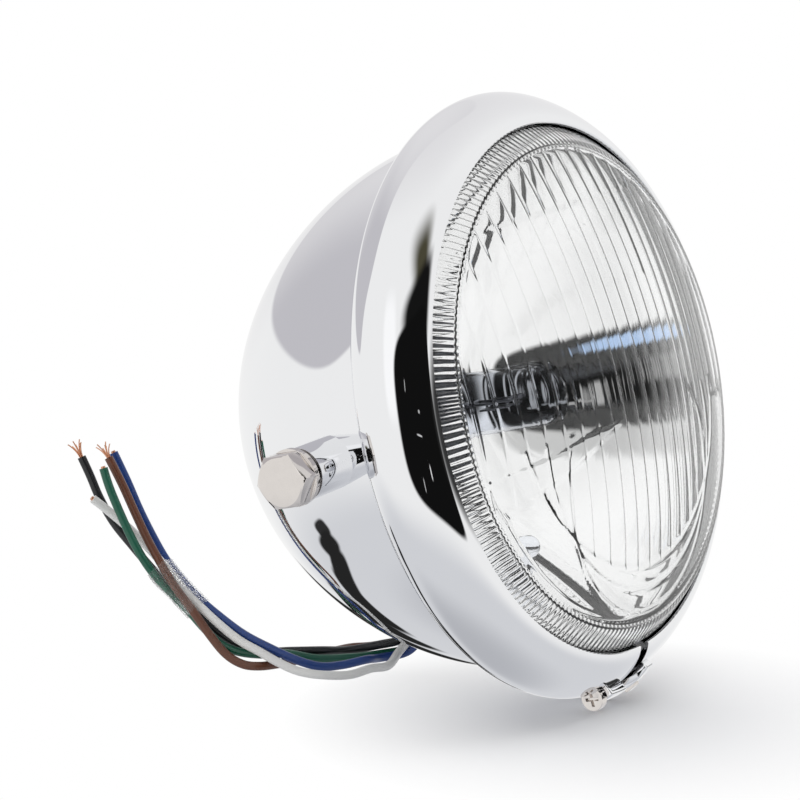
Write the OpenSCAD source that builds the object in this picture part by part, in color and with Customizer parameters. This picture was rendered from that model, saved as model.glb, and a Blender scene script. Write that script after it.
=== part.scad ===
// Round side-mount motorcycle headlight: a spun steel bowl, a split trim ring
// and a glass lamp unit with a fluted lens and a replaceable bulb.
// The origin lies midway between the two side bolts, on their common axis (X).
// The lamp looks along -Y and +Z is up. All sizes are in millimetres.

/* [Bowl] */
// Outer diameter of the bowl where the ring closes on it; the ring and the lamp unit follow it
bowl_d = 144.5; // [125:0.5:165]
// Depth of the bowl behind the ring's rear hem
bowl_depth = 77.5; // [66:0.5:90]
// Bluntness of the bowl's nose
bowl_nose = 1.7; // [1.6:0.01:1.8]
// How the flank swells between the nose and the rim
bowl_swell = -0.49; // [-0.6:0.01:-0.3]
// Sheet thickness of the bowl
bowl_wall = 1.2; // [0.9:0.1:1.6]

/* [Trim ring] */
// How far the ring stands out beyond the bowl
ring_overhang = 8.2; // [7:0.1:9.5]
// How far the ring's front lip lies inside the bowl's outline
lip_inset = 2.2; // [1.6:0.1:3]
// Distance of the ring's rear hem ahead of the side bolts
hem_ahead = 12.5; // [11.5:0.5:15]
// Depth of the ring from its rear hem to its front lip
ring_depth = 21.5; // [20.5:0.5:25]
// Distance from the rear hem to the ring's widest line
crest_back = 8.3; // [7.5:0.1:9]
// Sheet thickness of the ring
ring_wall = 1; // [0.8:0.1:1.2]
// Width of the slit at the bottom of the ring
ring_slit = 4; // [2.8:0.2:5]

/* [Ring clamp] */
// Thread diameter of the clamp screw
clamp_screw_d = 3; // [2.5:0.5:3.5]
// Head diameter of the clamp screw
clamp_head_d = 6.4; // [5.6:0.1:6.8]
// Distance of the clamp screw's axis outside the ring's crest
clamp_drop = 0; // [0:0.1:0.8]
// Distance of the clamp screw's axis ahead of the ring's crest
clamp_ahead = 1.2; // [0:0.1:2]
// Length of each clamp lug along the screw
lug_l = 7.8; // [6:0.2:9]
// How far the lugs stand out from the ring
lug_rise = 3.4; // [3.2:0.1:4]

/* [Lens] */
// How far the glass flange reaches behind the ring's lip
flange_lap = 3; // [2:0.5:3]
// Thickness of the glass flange
flange_t = 5; // [4:0.5:5.5]
// Height of the ribbed wall around the lens face
lens_wall_h = 4.7; // [4:0.1:6]
// How far the ribbed wall leans inwards over its height
wall_lean = 4.4; // [3.6:0.1:5]
// Rise of the domed face above the rounded shoulder
dome_rise = 11.6; // [10:0.1:14]
// Thickness of the glass
glass_t = 3; // [2.5:0.5:3.5]
// Width of one flute of the lens
flute_w = 4; // [3.8:0.1:7]
// Depth of one flute
flute_h = 0.6; // [0.4:0.05:0.8]
// Depth of the stronger flutes near the top of the lens
crown_flute_h = 0.9; // [0.7:0.05:1.1]
// Number of ribs around the lens wall
rib_count = 210; // [120:10:240]
// Depth of a rib
rib_h = 0.6; // [0.3:0.1:0.8]
// Width of each stepped band at the foot of the lens
band_w = 6; // [5:0.5:7]

/* [Lamp unit] */
// Focal length of the reflector
focal = 24; // [23:0.5:26]
// Sheet thickness of the reflector
reflector_t = 0.8; // [0.6:0.1:1]
// Radius of the hole for the bulb
bulb_hole_r = 19.2; // [18.5:0.1:20]
// Thickness of the seal between glass and reflector
seal_t = 1; // [0.6:0.1:1.4]
// Diameter of the bulb's glass
bulb_d = 17; // [15:0.5:18]
// Length of the bulb's glass in front of its base
bulb_l = 46; // [40:1:50]
// Radius of the bulb's metal base
base_r = 9; // [8:0.5:10]
// Depth of the bulb's metal base
base_l = 8; // [7:0.5:10]
// Width of the plug on the bulb
plug_w = 25; // [22:0.5:28]
// Depth of the plug on the bulb
plug_l = 20; // [16:0.5:24]
// Radius of the hole for the parking bulb
park_hole_r = 6.2; // [5.6:0.1:7]

/* [Side bolts] */
// Thread diameter of the side bolts
bolt_d = 8; // [8:1:10]
// Length of the spacer between the bowl and the spring washer
spacer_l = 14.4; // [8:0.2:24]
// Outer diameter of the spacer
spacer_d = 13.6; // [13:0.1:16]
// Width across the flats of the head
bolt_af = 13; // [13:0.5:15]
// Height of the head
bolt_head_h = 5.3; // [4.5:0.1:6.5]
// Thickness of the washer under the head
flange_washer_t = 1.5; // [1:0.1:2]
// Thickness of the spring washer
washer_t = 1.8; // [1.5:0.1:2.5]
// Radius of the threaded boss inside the bowl
boss_r = 9; // [8:0.5:10]
// Depth of the threaded boss inside the bowl
boss_l = 11; // [8:0.5:12]

/* [Wires] */
// Outer diameter of each wire
wire_d = 2.4; // [2:0.1:2.5]
// Distance of the wire hole behind the side bolts
outlet_back = 34; // [32:1:36]
// Radius of the wire hole
outlet_hole_r = 6.5; // [6:0.5:8]

/* [Hidden] */
$fn = 96;

// Running clearances
fit_gap = 0.2;
skin = 0.05;

// The bowl: squared radius is a cubic of the distance from the back
bowl_r = bowl_d / 2;
bowl_back = hem_ahead - bowl_depth;
bowl_skirt = 3.4;
bead_w = 3.4;

// The ring's section
ring_r = bowl_r + ring_overhang;
lip_r = bowl_r - lip_inset;
hem_r = bowl_r + 0.3;
crest_s = hem_ahead + crest_back;
lip_s = hem_ahead + ring_depth;
rear_round = 1.87;
front_round = 1.43;

// The clamp at the foot of the ring
clamp_s = crest_s + clamp_ahead;
clamp_z = ring_r + clamp_drop;
screw_head_h = 2.6;
nut_l = 2.6;
nut_af = 5.5;
lug_end = ring_slit / 2 + lug_l;
lug_front = lip_s - 2;
lug_back = crest_s - 2;
pocket_r = max(nut_af / cos(30), clamp_head_d) / 2 + 0.4;
pocket_l = 2 * screw_head_h + nut_l;

// The lens, from the ring's lip backwards
glass_front = lip_s - ring_wall - fit_gap;
glass_back = glass_front - flange_t;
wall_r = lip_r - 0.8;
flange_r = lip_r + flange_lap;
flange_bevel = 2.4;
wall_top_r = wall_r - wall_lean;
wall_top = glass_front + lens_wall_h;
shoulder_w = 1.6;
shoulder_h = 0.9;
dome_edge = wall_top_r - shoulder_w;
dome_foot = wall_top + shoulder_h;
dome_ball = (dome_edge * dome_edge + dome_rise * dome_rise) / (2 * dome_rise);
dome_top = dome_foot + dome_rise;
inner_ball = dome_ball - glass_t;
rib_r = wall_top_r - 2.2;
rib_top = wall_top - 1.8;
flute_r = rib_r - 2;
flute_end_r = flute_r - 2 * band_w;
foot_z = -wall_lean * 3;
crown_z = lip_r * 0.67;
mould_l = dome_top - glass_back + 2;

// The stack behind the glass
seal_back = glass_back - seal_t;
rim_back = seal_back - reflector_t;
keeper_t = 1.2;
keeper_back = rim_back - keeper_t;
snap_d = 2;
dish_r = flange_r - 7;
dish_back = rim_back - dish_r * dish_r / (4 * focal);

// The bulb in its collar
collar_l = 4;
collar_back = dish_back + bulb_hole_r * bulb_hole_r / (4 * focal) - collar_l;
base_flange_t = 1;
cup_h = 3;
pin_l = base_l;
plug_h = plug_w * 0.84;
wick_l = bulb_l * 0.6;
clip_d = 1.2;
boot_t = reflector_t + 1;
boot_r = bulb_hole_r + reflector_t + 4;
boot_neck = base_l * 0.62;

// The small parking bulb below the main one
park_r = bulb_hole_r + 3 * park_hole_r + 2.2;
park_s = dish_back + park_r * park_r / (4 * focal);
park_bulb_r = park_hole_r / 2;
park_collar = 2.5;
park_body = park_hole_r * 1.6;

// The side bolts
flange_washer_d = bolt_af + 1.6;
washer_back = bowl_radius(0) + spacer_l;
head_back = washer_back + washer_t + flange_washer_t;
bolt_reach = head_back + bolt_head_h;
boss_inner = bowl_radius(0) - bowl_wall - boss_l;
bolt_end = boss_inner - 1;

// The wire outlet under the bowl
outlet_r = bowl_radius(-outlet_back);
outlet_tilt = bowl_slope(-outlet_back);
bundle_r = wire_d / 2 / sin(36) + 0.16;
bore_r = bundle_r + wire_d / 2 + 0.12;
grommet_in = outlet_hole_r * 0.6;
grommet_out = outlet_hole_r * 0.4;
grommet_r = outlet_hole_r + 2;

// Radius of the bowl's outside at a distance s ahead of the side bolts
function bowl_x(s) = min(max((s - bowl_back) / bowl_depth, 0), 1);
function bowl_poly(x) = bowl_nose * x + bowl_swell * x * x + (1 - bowl_nose - bowl_swell) * x * x * x;
function bowl_radius(s) = bowl_r * sqrt(bowl_poly(bowl_x(s)));
function bowl_slope(s) = atan2(bowl_radius(s + 0.1) - bowl_radius(s - 0.1), 0.2);

// Outline of the bowl from its back to its rim, as [radius, distance ahead]
bowl_steps = 30;
bowl_outline = concat(
    [for (i = [0 : bowl_steps]) let (x = pow(i / bowl_steps, 2), s = bowl_back + bowl_depth * x)
        [bowl_radius(s), s]],
    [[bowl_r, hem_ahead + bowl_skirt + bowl_wall]]);

// Outline of the ring from its rear hem over the crest to the front lip
ring_steps = 12;
ring_outline = concat(
    [for (i = [0 : ring_steps]) let (a = 90 * i / ring_steps)
        [hem_r + (ring_r - hem_r) * pow(sin(a), 2 / rear_round),
            crest_s - crest_back * pow(cos(a), 2 / rear_round)]],
    [for (i = [1 : ring_steps]) let (a = 90 - 90 * i / ring_steps)
        [lip_r + (ring_r - lip_r) * pow(sin(a), 2 / front_round),
            crest_s + (lip_s - crest_s) * pow(cos(a), 2 / front_round)]]);

// A path moved sideways by t, to its left as it runs
function side_step(p, t) = [for (i = [0 : len(p) - 1])
    let (a = p[max(i - 1, 0)], b = p[min(i + 1, len(p) - 1)], d = (b - a) / norm(b - a))
        p[i] + t * [-d[1], d[0]]];
function backwards(p) = [for (i = [len(p) - 1 : -1 : 0]) p[i]];

// Radius of the ring's inside at a distance s ahead of the side bolts, in front of its crest
function ring_inside(s) = lip_r + (ring_r - lip_r)
    * pow(1 - pow((s - crest_s) / (lip_s - crest_s), front_round), 1 / front_round) - 1.25 * ring_wall;

// Middle of the ring's sheet, which the lugs stop at
ring_lining = side_step(ring_outline, ring_wall / 2);

// Turns a section drawn as [radius, distance ahead] round the lamp's axis
module turned() {
    rotate([90, 0, 0]) rotate_extrude($fn = 144) children();
}

module bowl_sheet() {
    inside = side_step(bowl_outline, bowl_wall);
    turned() intersection() {
        polygon(concat(bowl_outline, backwards(inside)));
        translate([0, bowl_back - 1]) square([bowl_r + 1, bowl_depth + bowl_skirt + bead_w]);
    }
}

// Everything inside the bowl's outer skin
module bowl_solid() {
    turned() polygon(concat(bowl_outline, [[0, hem_ahead + bowl_skirt + bowl_wall]]));
}

module bowl_hollow() {
    inside = side_step(bowl_outline, bowl_wall);
    front = inside[len(inside) - 1];
    turned() intersection() {
        polygon(concat(inside, [[0, front[1]]]));
        translate([0, bowl_back]) square([bowl_r + 1, bowl_depth + bowl_skirt + bead_w]);
    }
}

// Puts children at the wire outlet, with their +Z pointing out of the bowl
module at_outlet() {
    translate([0, outlet_back, -outlet_r]) rotate([180 + outlet_tilt, 0, 0]) children();
}

module bucket() {
    color("gainsboro") difference() {
        union() {
            bowl_sheet();
            turned() translate([bowl_r - bowl_wall, hem_ahead + bowl_skirt])
                square([bead_w + bowl_wall, bowl_wall]);
        }
        rotate([0, 90, 0]) cylinder(d = bolt_d + 2 * fit_gap, h = 2 * bolt_reach, center = true);
        at_outlet() cylinder(r = outlet_hole_r, h = 3 * outlet_hole_r, center = true);
    }
}

// A clamp lug: a thick pad that follows the ring's section beside the slit
module ring_lug(start) {
    intersection() {
        turned() polygon(concat(side_step(ring_outline, -lug_rise), backwards(ring_lining)));
        translate([start, -lug_front, -clamp_z - 2 * lug_rise])
            cube([lug_l, lug_front - lug_back, clamp_z + 2 * lug_rise - lip_r]);
    }
}

module along_screw(from, to, d) {
    translate([from, -clamp_s, -clamp_z]) rotate([0, 90, 0]) cylinder(d = d, h = to - from, $fn = 48);
}

module trim_ring() {
    inside = side_step(ring_outline, ring_wall);
    color("whitesmoke") difference() {
        union() {
            difference() {
                turned() polygon(concat(ring_outline, backwards(inside)));
                along_screw(-lug_end - pocket_l, -lug_end + 1, 2 * pocket_r);
                along_screw(lug_end - 1, lug_end + pocket_l, 2 * pocket_r);
            }
            ring_lug(ring_slit / 2);
            ring_lug(-lug_end);
        }
        translate([-ring_slit / 2, -lip_s - 1, -clamp_z - 2 * lug_rise])
            cube([ring_slit, ring_depth + 2, clamp_z + 2 * lug_rise - lip_r + 2 * flange_lap]);
        along_screw(-lug_end - 1, lug_end + 1, clamp_screw_d + 2 * fit_gap);
    }
}

module clamp_screw() {
    color("silver") difference() {
        union() {
            along_screw(-lug_end, lug_end + nut_l + 1.5, clamp_screw_d);
            along_screw(-lug_end - screw_head_h, -lug_end, clamp_head_d);
        }
        translate([-lug_end - screw_head_h, -clamp_s, -clamp_z]) {
            cube([screw_head_h, 0.8, clamp_head_d * 0.6], center = true);
            cube([screw_head_h, clamp_head_d * 0.6, 0.8], center = true);
        }
    }
}

module clamp_nut() {
    color("silver") translate([lug_end, -clamp_s, -clamp_z]) rotate([0, 90, 0]) difference() {
        cylinder(d = nut_af / cos(30), h = nut_l, $fn = 6);
        translate([0, 0, -1]) cylinder(d = clamp_screw_d + skin, h = nut_l + 2);
    }
}

// Outside of the glass: dome, rounded shoulder, leaning wall and bevelled flange
dome_steps = 14;
dome_span = asin(dome_edge / dome_ball);
lens_outline = concat(
    [for (i = [0 : dome_steps]) let (a = dome_span * i / dome_steps)
        [dome_ball * sin(a), dome_top - dome_ball + dome_ball * cos(a)]],
    [[dome_edge + shoulder_w * 0.65, wall_top + shoulder_h * 0.55], [wall_top_r, wall_top],
        [wall_r, glass_front], [wall_r + 1.4, glass_front],
        [flange_r, glass_front - flange_bevel], [flange_r, glass_back], [0, glass_back]]);

// The core that moulds upright flutes: a scalloped section turned about a cross axis
module flute_core(depth) {
    half = ceil(flute_r / flute_w);
    bend = 4;
    scallops = [for (i = [-half * bend : half * bend])
        let (x = i * flute_w / bend, f = abs(i % bend) / bend)
        [sqrt(inner_ball * inner_ball - x * x) + depth * 4 * f * (1 - f), x]];
    translate([0, dome_ball - dome_top, 0]) rotate([0, 90, 0]) rotate_extrude($fn = 144)
        polygon(concat([[0, -half * flute_w]], scallops, [[0, half * flute_w]]));
}

// The core of the plain bands below the flutes: shallow steps, concentric with the rim
module band_core() {
    face = dome_top - dome_ball;
    bands = [for (k = [0 : 1]) for (e = [0 : 4]) let (r = flute_end_r + band_w * (k + e / 4))
        [r, face + sqrt(inner_ball * inner_ball - r * r) - 1.5 * flute_h * (1 - e / 4) + 0.1 * k]];
    turned() polygon(concat([[0, glass_back - 1], [0, bands[0][1]]], bands, [[flute_r, glass_back - 1]]));
}

module lens_zone(low, high, r) {
    intersection() {
        rotate([90, 0, 0]) translate([0, 0, glass_back - 1]) cylinder(r = r, h = mould_l);
        translate([-flange_r, -glass_back + 1 - mould_l, low]) cube([2 * flange_r, mould_l, high - low]);
    }
}

module lens() {
    color("lightcyan", 0.5) difference() {
        turned() polygon(lens_outline);
        // ribbed wall
        rotate([90, 0, 0]) translate([0, 0, glass_back - 1])
            linear_extrude(height = rib_top - glass_back + 1)
                polygon([for (i = [0 : 2 * rib_count - 1])
                    let (a = 180 * i / rib_count, r = rib_r - rib_h * (i % 2)) [r * cos(a), r * sin(a)]]);
        // flutes over the face
        intersection() {
            flute_core(flute_h);
            union() {
                lens_zone(foot_z, crown_z, flute_r);
                lens_zone(-flute_r, foot_z, flute_end_r);
            }
        }
        // stronger flutes near the top
        intersection() {
            flute_core(crown_flute_h);
            lens_zone(crown_z, flute_r, flute_r);
        }
        // plain stepped bands at the foot
        intersection() {
            band_core();
            lens_zone(-flute_r, foot_z, flute_r);
        }
    }
}

module lens_seal() {
    color("dimgray") turned() translate([dish_r + 1.5, seal_back])
        square([flange_r - dish_r - 1.5, seal_t]);
}

// The dish: squared radius grows with the distance from its back
dish_steps = 18;
dish_outline = [for (i = [0 : dish_steps]) let (r = bulb_hole_r + (dish_r - bulb_hole_r) * i / dish_steps)
    [r, dish_back + r * r / (4 * focal)]];

module reflector() {
    outside = side_step(dish_outline, -reflector_t);
    color("silver") difference() {
        union() {
            turned() union() {
                polygon(concat(dish_outline, backwards(outside)));
                translate([dish_r, rim_back]) square([flange_r - dish_r, reflector_t]);
                translate([dish_r, rim_back - reflector_t]) square([1.2, 2 * reflector_t]);
                translate([bulb_hole_r, collar_back]) square([reflector_t, collar_l]);
                translate([bulb_hole_r, collar_back]) square([collar_l, reflector_t]);
            }
            translate([0, park_collar * 1.2 - park_s, -park_r]) rotate([90, 0, 0])
                cylinder(r = park_hole_r + reflector_t, h = 2 * park_collar);
        }
        translate([0, -park_s, -park_r]) rotate([90, 0, 0])
            cylinder(r = park_hole_r, h = 3 * park_body, center = true);
    }
}

module retaining_ring() {
    outer = ring_inside(keeper_back) - fit_gap;
    color("lightgray") turned() union() {
        translate([dish_r + 2.2, keeper_back]) square([outer - dish_r - 2.2, keeper_t]);
        translate([dish_r + 2.2, keeper_back - 2]) square([keeper_t, 2.2]);
    }
}

module snap_wire() {
    s = keeper_back - snap_d / 2;
    color("darkgray") rotate([90, 0, 0]) rotate([0, 0, -70]) rotate_extrude(angle = 320, $fn = 144)
        translate([ring_inside(s) - snap_d / 2, s]) circle(d = snap_d, $fn = 24);
}

// The bulb: glass envelope, base with its locating flange, and the filaments inside
bulb_back = collar_back;

module bulb_glass() {
    r = bulb_d / 2;
    top = bulb_back + bulb_l;
    tip = [for (a = [0 : 15 : 90]) [r * cos(a), top - r + r * sin(a)]];
    hollow = [for (a = [0 : 15 : 90]) [(r - 1) * cos(a), top - r + (r - 1) * sin(a)]];
    foot = bulb_back + cup_h + 1;
    color("lightblue", 0.4) turned()
        polygon(concat([[r - 1, foot], [r, foot]], tip, backwards(hollow)));
}

module bulb_base() {
    color("silver") turned() union() {
        translate([0, bulb_back - base_flange_t]) square([bulb_hole_r + 2, base_flange_t]);
        difference() {
            translate([0, bulb_back]) square([bulb_hole_r - fit_gap, cup_h]);
            translate([bulb_d / 2 + cup_h, bulb_back + 1]) square([bulb_hole_r, cup_h]);
        }
        translate([0, bulb_back + cup_h]) square([bulb_d / 2 + 1.5, 1]);
        translate([0, bulb_back - base_flange_t - base_l]) square([base_r, base_l]);
    }
    color("silver") translate([0, -bulb_back + base_flange_t + base_l, 0]) {
        for (side = [-1, 1])
            translate([side * base_r * 0.66 - 0.4, 0, -base_r / 3]) cube([0.8, pin_l, base_r * 0.66]);
        translate([-base_r / 3, 0, base_r * 0.62]) cube([base_r * 0.66, pin_l, 0.8]);
    }
}

module bulb_filaments() {
    coil_l = bulb_d * 0.38;
    color("dimgray") translate([0, -bulb_back - cup_h - 1, 0]) rotate([90, 0, 0]) {
        cylinder(d = bulb_d * 0.6, h = cup_h);
        for (x = [-1, 1])
            translate([x * bulb_d * 0.18, 0, 0]) cylinder(d = 0.8, h = wick_l, $fn = 16);
        for (up = [0.45, 0.93])
            translate([0, 0, wick_l * up]) rotate([0, 90, 0])
                cylinder(d = 1.4, h = coil_l, center = true, $fn = 16);
        translate([0, -bulb_d * 0.1, wick_l * 0.75]) cube([coil_l, 0.4, wick_l / 3], center = true);
    }
}

module bulb_clip() {
    s = bulb_back - base_flange_t - clip_d / 2;
    color("darkgray") rotate([90, 0, 0]) rotate([0, 0, 110]) rotate_extrude(angle = 320, $fn = 96)
        translate([bulb_hole_r + 1, s]) circle(d = clip_d, $fn = 16);
}

module dust_boot() {
    back = bulb_back - base_flange_t - clip_d - boot_t;
    color("black") turned() union() {
        translate([base_r + fit_gap, back - boot_neck + boot_t]) square([3, boot_neck]);
        translate([base_r + fit_gap, back]) square([boot_r + 2 - base_r - fit_gap, boot_t]);
        translate([boot_r, back]) square([2, collar_l + boot_t]);
    }
}

module bulb_plug() {
    front = bulb_back - base_flange_t - base_l - 0.3;
    color("ivory") difference() {
        translate([-plug_w / 2, -front, 1 - plug_h / 2]) cube([plug_w, plug_l, plug_h]);
        translate([0, -front - 1, 0]) {
            for (side = [-1, 1])
                translate([side * base_r * 0.66 - 0.6, 0, -base_r / 3 - 0.2])
                    cube([1.2, pin_l + 2, base_r * 0.66 + 0.4]);
            translate([-base_r / 3 - 0.2, 0, base_r * 0.62 - 0.2])
                cube([base_r * 0.66 + 0.4, pin_l + 2, 1.2]);
        }
    }
}

module park_holder() {
    color("dimgray") difference() {
        translate([0, park_body - park_s, -park_r]) rotate([90, 0, 0]) {
            translate([0, 0, -park_collar])
                cylinder(r = park_hole_r + 2, h = park_collar + park_body * 0.2);
            cylinder(r = park_hole_r - fit_gap, h = park_body);
        }
        translate([0, park_collar - park_s, -park_r]) rotate([90, 0, 0])
            cylinder(r = park_bulb_r + fit_gap, h = park_body);
    }
}

module park_bulb() {
    color("lightyellow", 0.5) translate([0, park_collar - park_s, -park_r]) rotate([90, 0, 0]) {
        cylinder(r = park_bulb_r, h = park_body);
        translate([0, 0, park_body]) sphere(r = park_bulb_r, $fn = 32);
    }
}

// One side's hardware is drawn on +X and mirrored for the left side
module side_bolt() {
    bevel = bolt_af / 13;
    rotate([0, 90, 0]) {
        difference() {
            translate([0, 0, head_back]) rotate([0, 0, 90])
                cylinder(d = bolt_af / cos(30), h = bolt_head_h, $fn = 6);
            translate([0, 0, bolt_reach - bevel]) difference() {
                cylinder(r = bolt_af, h = 2 * bevel, $fn = 48);
                translate([0, 0, -0.01])
                    cylinder(r1 = bolt_af * 0.6, r2 = bolt_af * 0.34, h = 2 * bevel, $fn = 48);
            }
        }
        translate([0, 0, washer_back + washer_t]) cylinder(d = flange_washer_d, h = flange_washer_t);
        translate([0, 0, bolt_end]) cylinder(d = bolt_d, h = head_back - bolt_end);
    }
}

module lock_washer() {
    translate([washer_back, 0, 0]) rotate([0, 90, 0]) difference() {
        cylinder(d = spacer_d - 1.2, h = washer_t);
        translate([0, 0, -1]) cylinder(d = bolt_d + 2 * fit_gap, h = washer_t + 2);
        rotate([18, 0, 0]) translate([0, -0.4, -2 * washer_t]) cube([spacer_d, 0.8, 5 * washer_t]);
    }
}

module spacer() {
    difference() {
        rotate([0, 90, 0]) difference() {
            cylinder(d = spacer_d, h = washer_back);
            translate([0, 0, -1]) cylinder(d = bolt_d + 2 * fit_gap, h = washer_back + 2);
        }
        bowl_solid();
    }
}

module boss() {
    intersection() {
        translate([boss_inner, 0, 0]) rotate([0, 90, 0]) difference() {
            cylinder(r = boss_r, h = boss_l + bowl_wall);
            translate([0, 0, -1]) cylinder(d = bolt_d + skin, h = boss_l + bowl_wall + 2);
        }
        bowl_hollow();
    }
}

module bolt_right() { color("lightgray") side_bolt(); }
module bolt_left() { color("lightgray") mirror([1, 0, 0]) side_bolt(); }
module lock_washer_right() { color("silver") lock_washer(); }
module lock_washer_left() { color("silver") mirror([1, 0, 0]) lock_washer(); }
module spacer_right() { color("lightgray") spacer(); }
module spacer_left() { color("lightgray") mirror([1, 0, 0]) spacer(); }
module boss_right() { color("silver") boss(); }
module boss_left() { color("silver") mirror([1, 0, 0]) boss(); }

module grommet() {
    color("black") difference() {
        at_outlet() translate([0, 0, -grommet_in]) cylinder(r = grommet_r, h = grommet_in + grommet_out);
        sheet_round_outlet();
        at_outlet() translate([0, 0, -2 * grommet_in]) cylinder(r = bore_r, h = 4 * grommet_in);
    }
}

module sheet_round_outlet() {
    difference() {
        bowl_sheet();
        at_outlet() cylinder(r = outlet_hole_r - 0.01, h = 3 * outlet_hole_r, center = true);
    }
}

// Wires: each leaves the outlet in its own place in the bundle, then follows points chosen by hand
outlet_axis = [0, sin(outlet_tilt), -cos(outlet_tilt)];
outlet_side = [0, cos(outlet_tilt), sin(outlet_tilt)];
outlet_mid = [0, outlet_back, -outlet_r];
function outlet_point(k, out) = outlet_mid + out * outlet_axis
    + bundle_r * (cos(72 * k) * [-1, 0, 0] + sin(72 * k) * outlet_side);
function lead_out(k) = [outlet_point(k, -6), outlet_point(k, 0), outlet_point(k, 6)];

white_way = [
    [-6, 40, -63.5], [-15, 38, -65], [-21, 39.5, -64], [-28.5, 41.5, -63.5], [-34, 46.5, -61.5],
    [-35.5, 52.5, -59.5], [-35.5, 58.5, -56.5], [-35, 64.5, -53], [-35, 70, -49.5], [-35, 75.5, -44.5],
    [-35, 81, -38.5], [-35, 86, -32.5], [-35, 89.5, -26.5], [-36, 92.5, -21], [-37.5, 96, -15],
    [-40, 99.5, -9], [-43, 102, -4]];
blue_way = [
    [-2.5, 40, -64.5], [-8.5, 44.5, -64], [-16, 44, -62.5], [-22, 48, -62], [-27.5, 51.5, -60.5],
    [-31, 56.5, -57], [-32, 63, -53], [-32, 70.5, -48.5], [-31.5, 77.5, -43], [-31.5, 83.5, -37],
    [-31.5, 88, -31], [-31.5, 91.5, -25], [-31.5, 94, -18.5], [-32, 96, -10.5], [-32.5, 97.5, -2],
    [-33.5, 99, 6.5]];
brown_way = [
    [0.5, 42.5, -61.5], [-3.5, 50, -61.5], [-7.5, 55, -60.5], [-17, 58, -59.5], [-23.5, 61, -59],
    [-30.5, 62.5, -58], [-35.5, 65, -57], [-37.5, 69, -55.5], [-38, 73.5, -52], [-38, 77.5, -46],
    [-38, 81.5, -38.5], [-38.5, 85, -31.5], [-39, 87.5, -24.5], [-39, 90, -17.5], [-39, 92, -10],
    [-39, 94, -2], [-39, 96.5, 6]];
black_way = [
    [-2.5, 42, -61], [-5, 45.5, -61], [-10.5, 53, -60.5], [-19, 56, -58], [-25, 61.5, -56],
    [-29, 67.5, -54.5], [-31.5, 73, -51.5], [-32.5, 78, -47.5], [-33, 83, -42.5], [-33.5, 87.5, -37],
    [-34.5, 91, -31.5], [-36, 94, -25.5], [-37, 97.5, -19], [-38, 101, -12], [-39, 103, -4.5],
    [-39.5, 104, 2], [-40, 105, 7.5]];
green_way = [
    [0, 41, -64], [-6, 46.5, -63.5], [-13.5, 50, -62], [-22, 55.5, -59.5], [-28, 60.5, -56],
    [-32, 66.5, -54.5], [-34.5, 72, -52.5], [-35.5, 76.5, -49.5], [-35.5, 80.5, -45], [-36, 84, -39.5],
    [-37.5, 87, -34], [-40, 89, -28.5], [-42, 90.5, -22.5], [-43, 92, -16], [-43.5, 93.5, -8.5],
    [-44, 94.5, -1.5], [-44, 95, 4]];

// A smooth curve through the points, with a ring at each point and one between
function blend(a, b, c, d, t) = 0.5 * (2 * b + (c - a) * t + (2 * a - 5 * b + 4 * c - d) * t * t
    + (3 * b - a - 3 * c + d) * t * t * t);
function route(p) = concat([for (i = [0 : len(p) - 2]) for (t = [0, 0.5])
    blend(p[max(i - 1, 0)], p[i], p[i + 1], p[min(i + 2, len(p) - 1)], t)], [p[len(p) - 1]]);

// Sweeps a round section along a route; lay_dir is never in line with the route
lay_dir = [0.86, 0.47, -0.2];
module swept(p, r, sides) {
    n = len(p);
    rings = [for (i = [0 : n - 1])
        let (t = p[min(i + 1, n - 1)] - p[max(i - 1, 0)], c = cross(t, lay_dir), u = c / norm(c),
            w = cross(t, u) / norm(t))
            for (k = [0 : sides - 1]) p[i] + r * (cos(360 * k / sides) * u + sin(360 * k / sides) * w)];
    walls = [for (i = [0 : n - 2]) for (k = [0 : sides - 1]) let (m = (k + 1) % sides)
        [i * sides + k, (i + 1) * sides + k, (i + 1) * sides + m, i * sides + m]];
    polyhedron(rings, concat([[for (k = [0 : sides - 1]) k]], walls,
        [[for (k = [sides - 1 : -1 : 0]) (n - 1) * sides + k]]), convexity = 10);
}

module wire(k, way) {
    swept(route(concat(lead_out(k), way)), wire_d / 2, 8);
}

module wire_white() { color("white") wire(0, white_way); }
module wire_blue() { color("mediumblue") wire(4, blue_way); }
module wire_brown() { color("saddlebrown") wire(2, brown_way); }
module wire_black() { color([0.08, 0.08, 0.08]) wire(1, black_way); }
module wire_green() { color("seagreen") wire(3, green_way); }

// Bare copper at the wires' free ends: flush cores, and loose strands on two of them
module strands(way, count, l) {
    tip = way[len(way) - 1];
    run = tip - way[len(way) - 2];
    d = run / norm(run);
    turn = acos(d[2]);
    swing = atan2(d[1], d[0]);
    translate(tip) rotate([0, turn, swing]) for (i = [0 : count - 1])
        rotate([0, 0, i * 137]) translate([0.35 * (i > 0 ? 1 : 0), 0, 0]) rotate([0, i * 5, 0])
            cylinder(r = 0.16, h = l - 0.4 * i, $fn = 6);
}

module copper_ends() {
    color("peru") {
        strands(black_way, 5, 4.5);
        strands(brown_way, 6, 4);
        strands(white_way, 1, 0.6);
        strands(green_way, 1, 0.5);
        strands(blue_way, 1, 0.5);
    }
}

// Clear tape wound once round the five wires
tape_way = [[-34.5, 82, -39.5], [-35, 85, -35], [-35.5, 88, -30.5], [-36, 90.5, -26.5]];
tape_past = concat([2 * tape_way[0] - tape_way[1]], tape_way, [2 * tape_way[3] - tape_way[2]]);
module wire_tape() {
    color("white", 0.4) difference() {
        swept(route(tape_way), 6, 16);
        swept(route(tape_past), 5.75, 16);
    }
}

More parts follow.
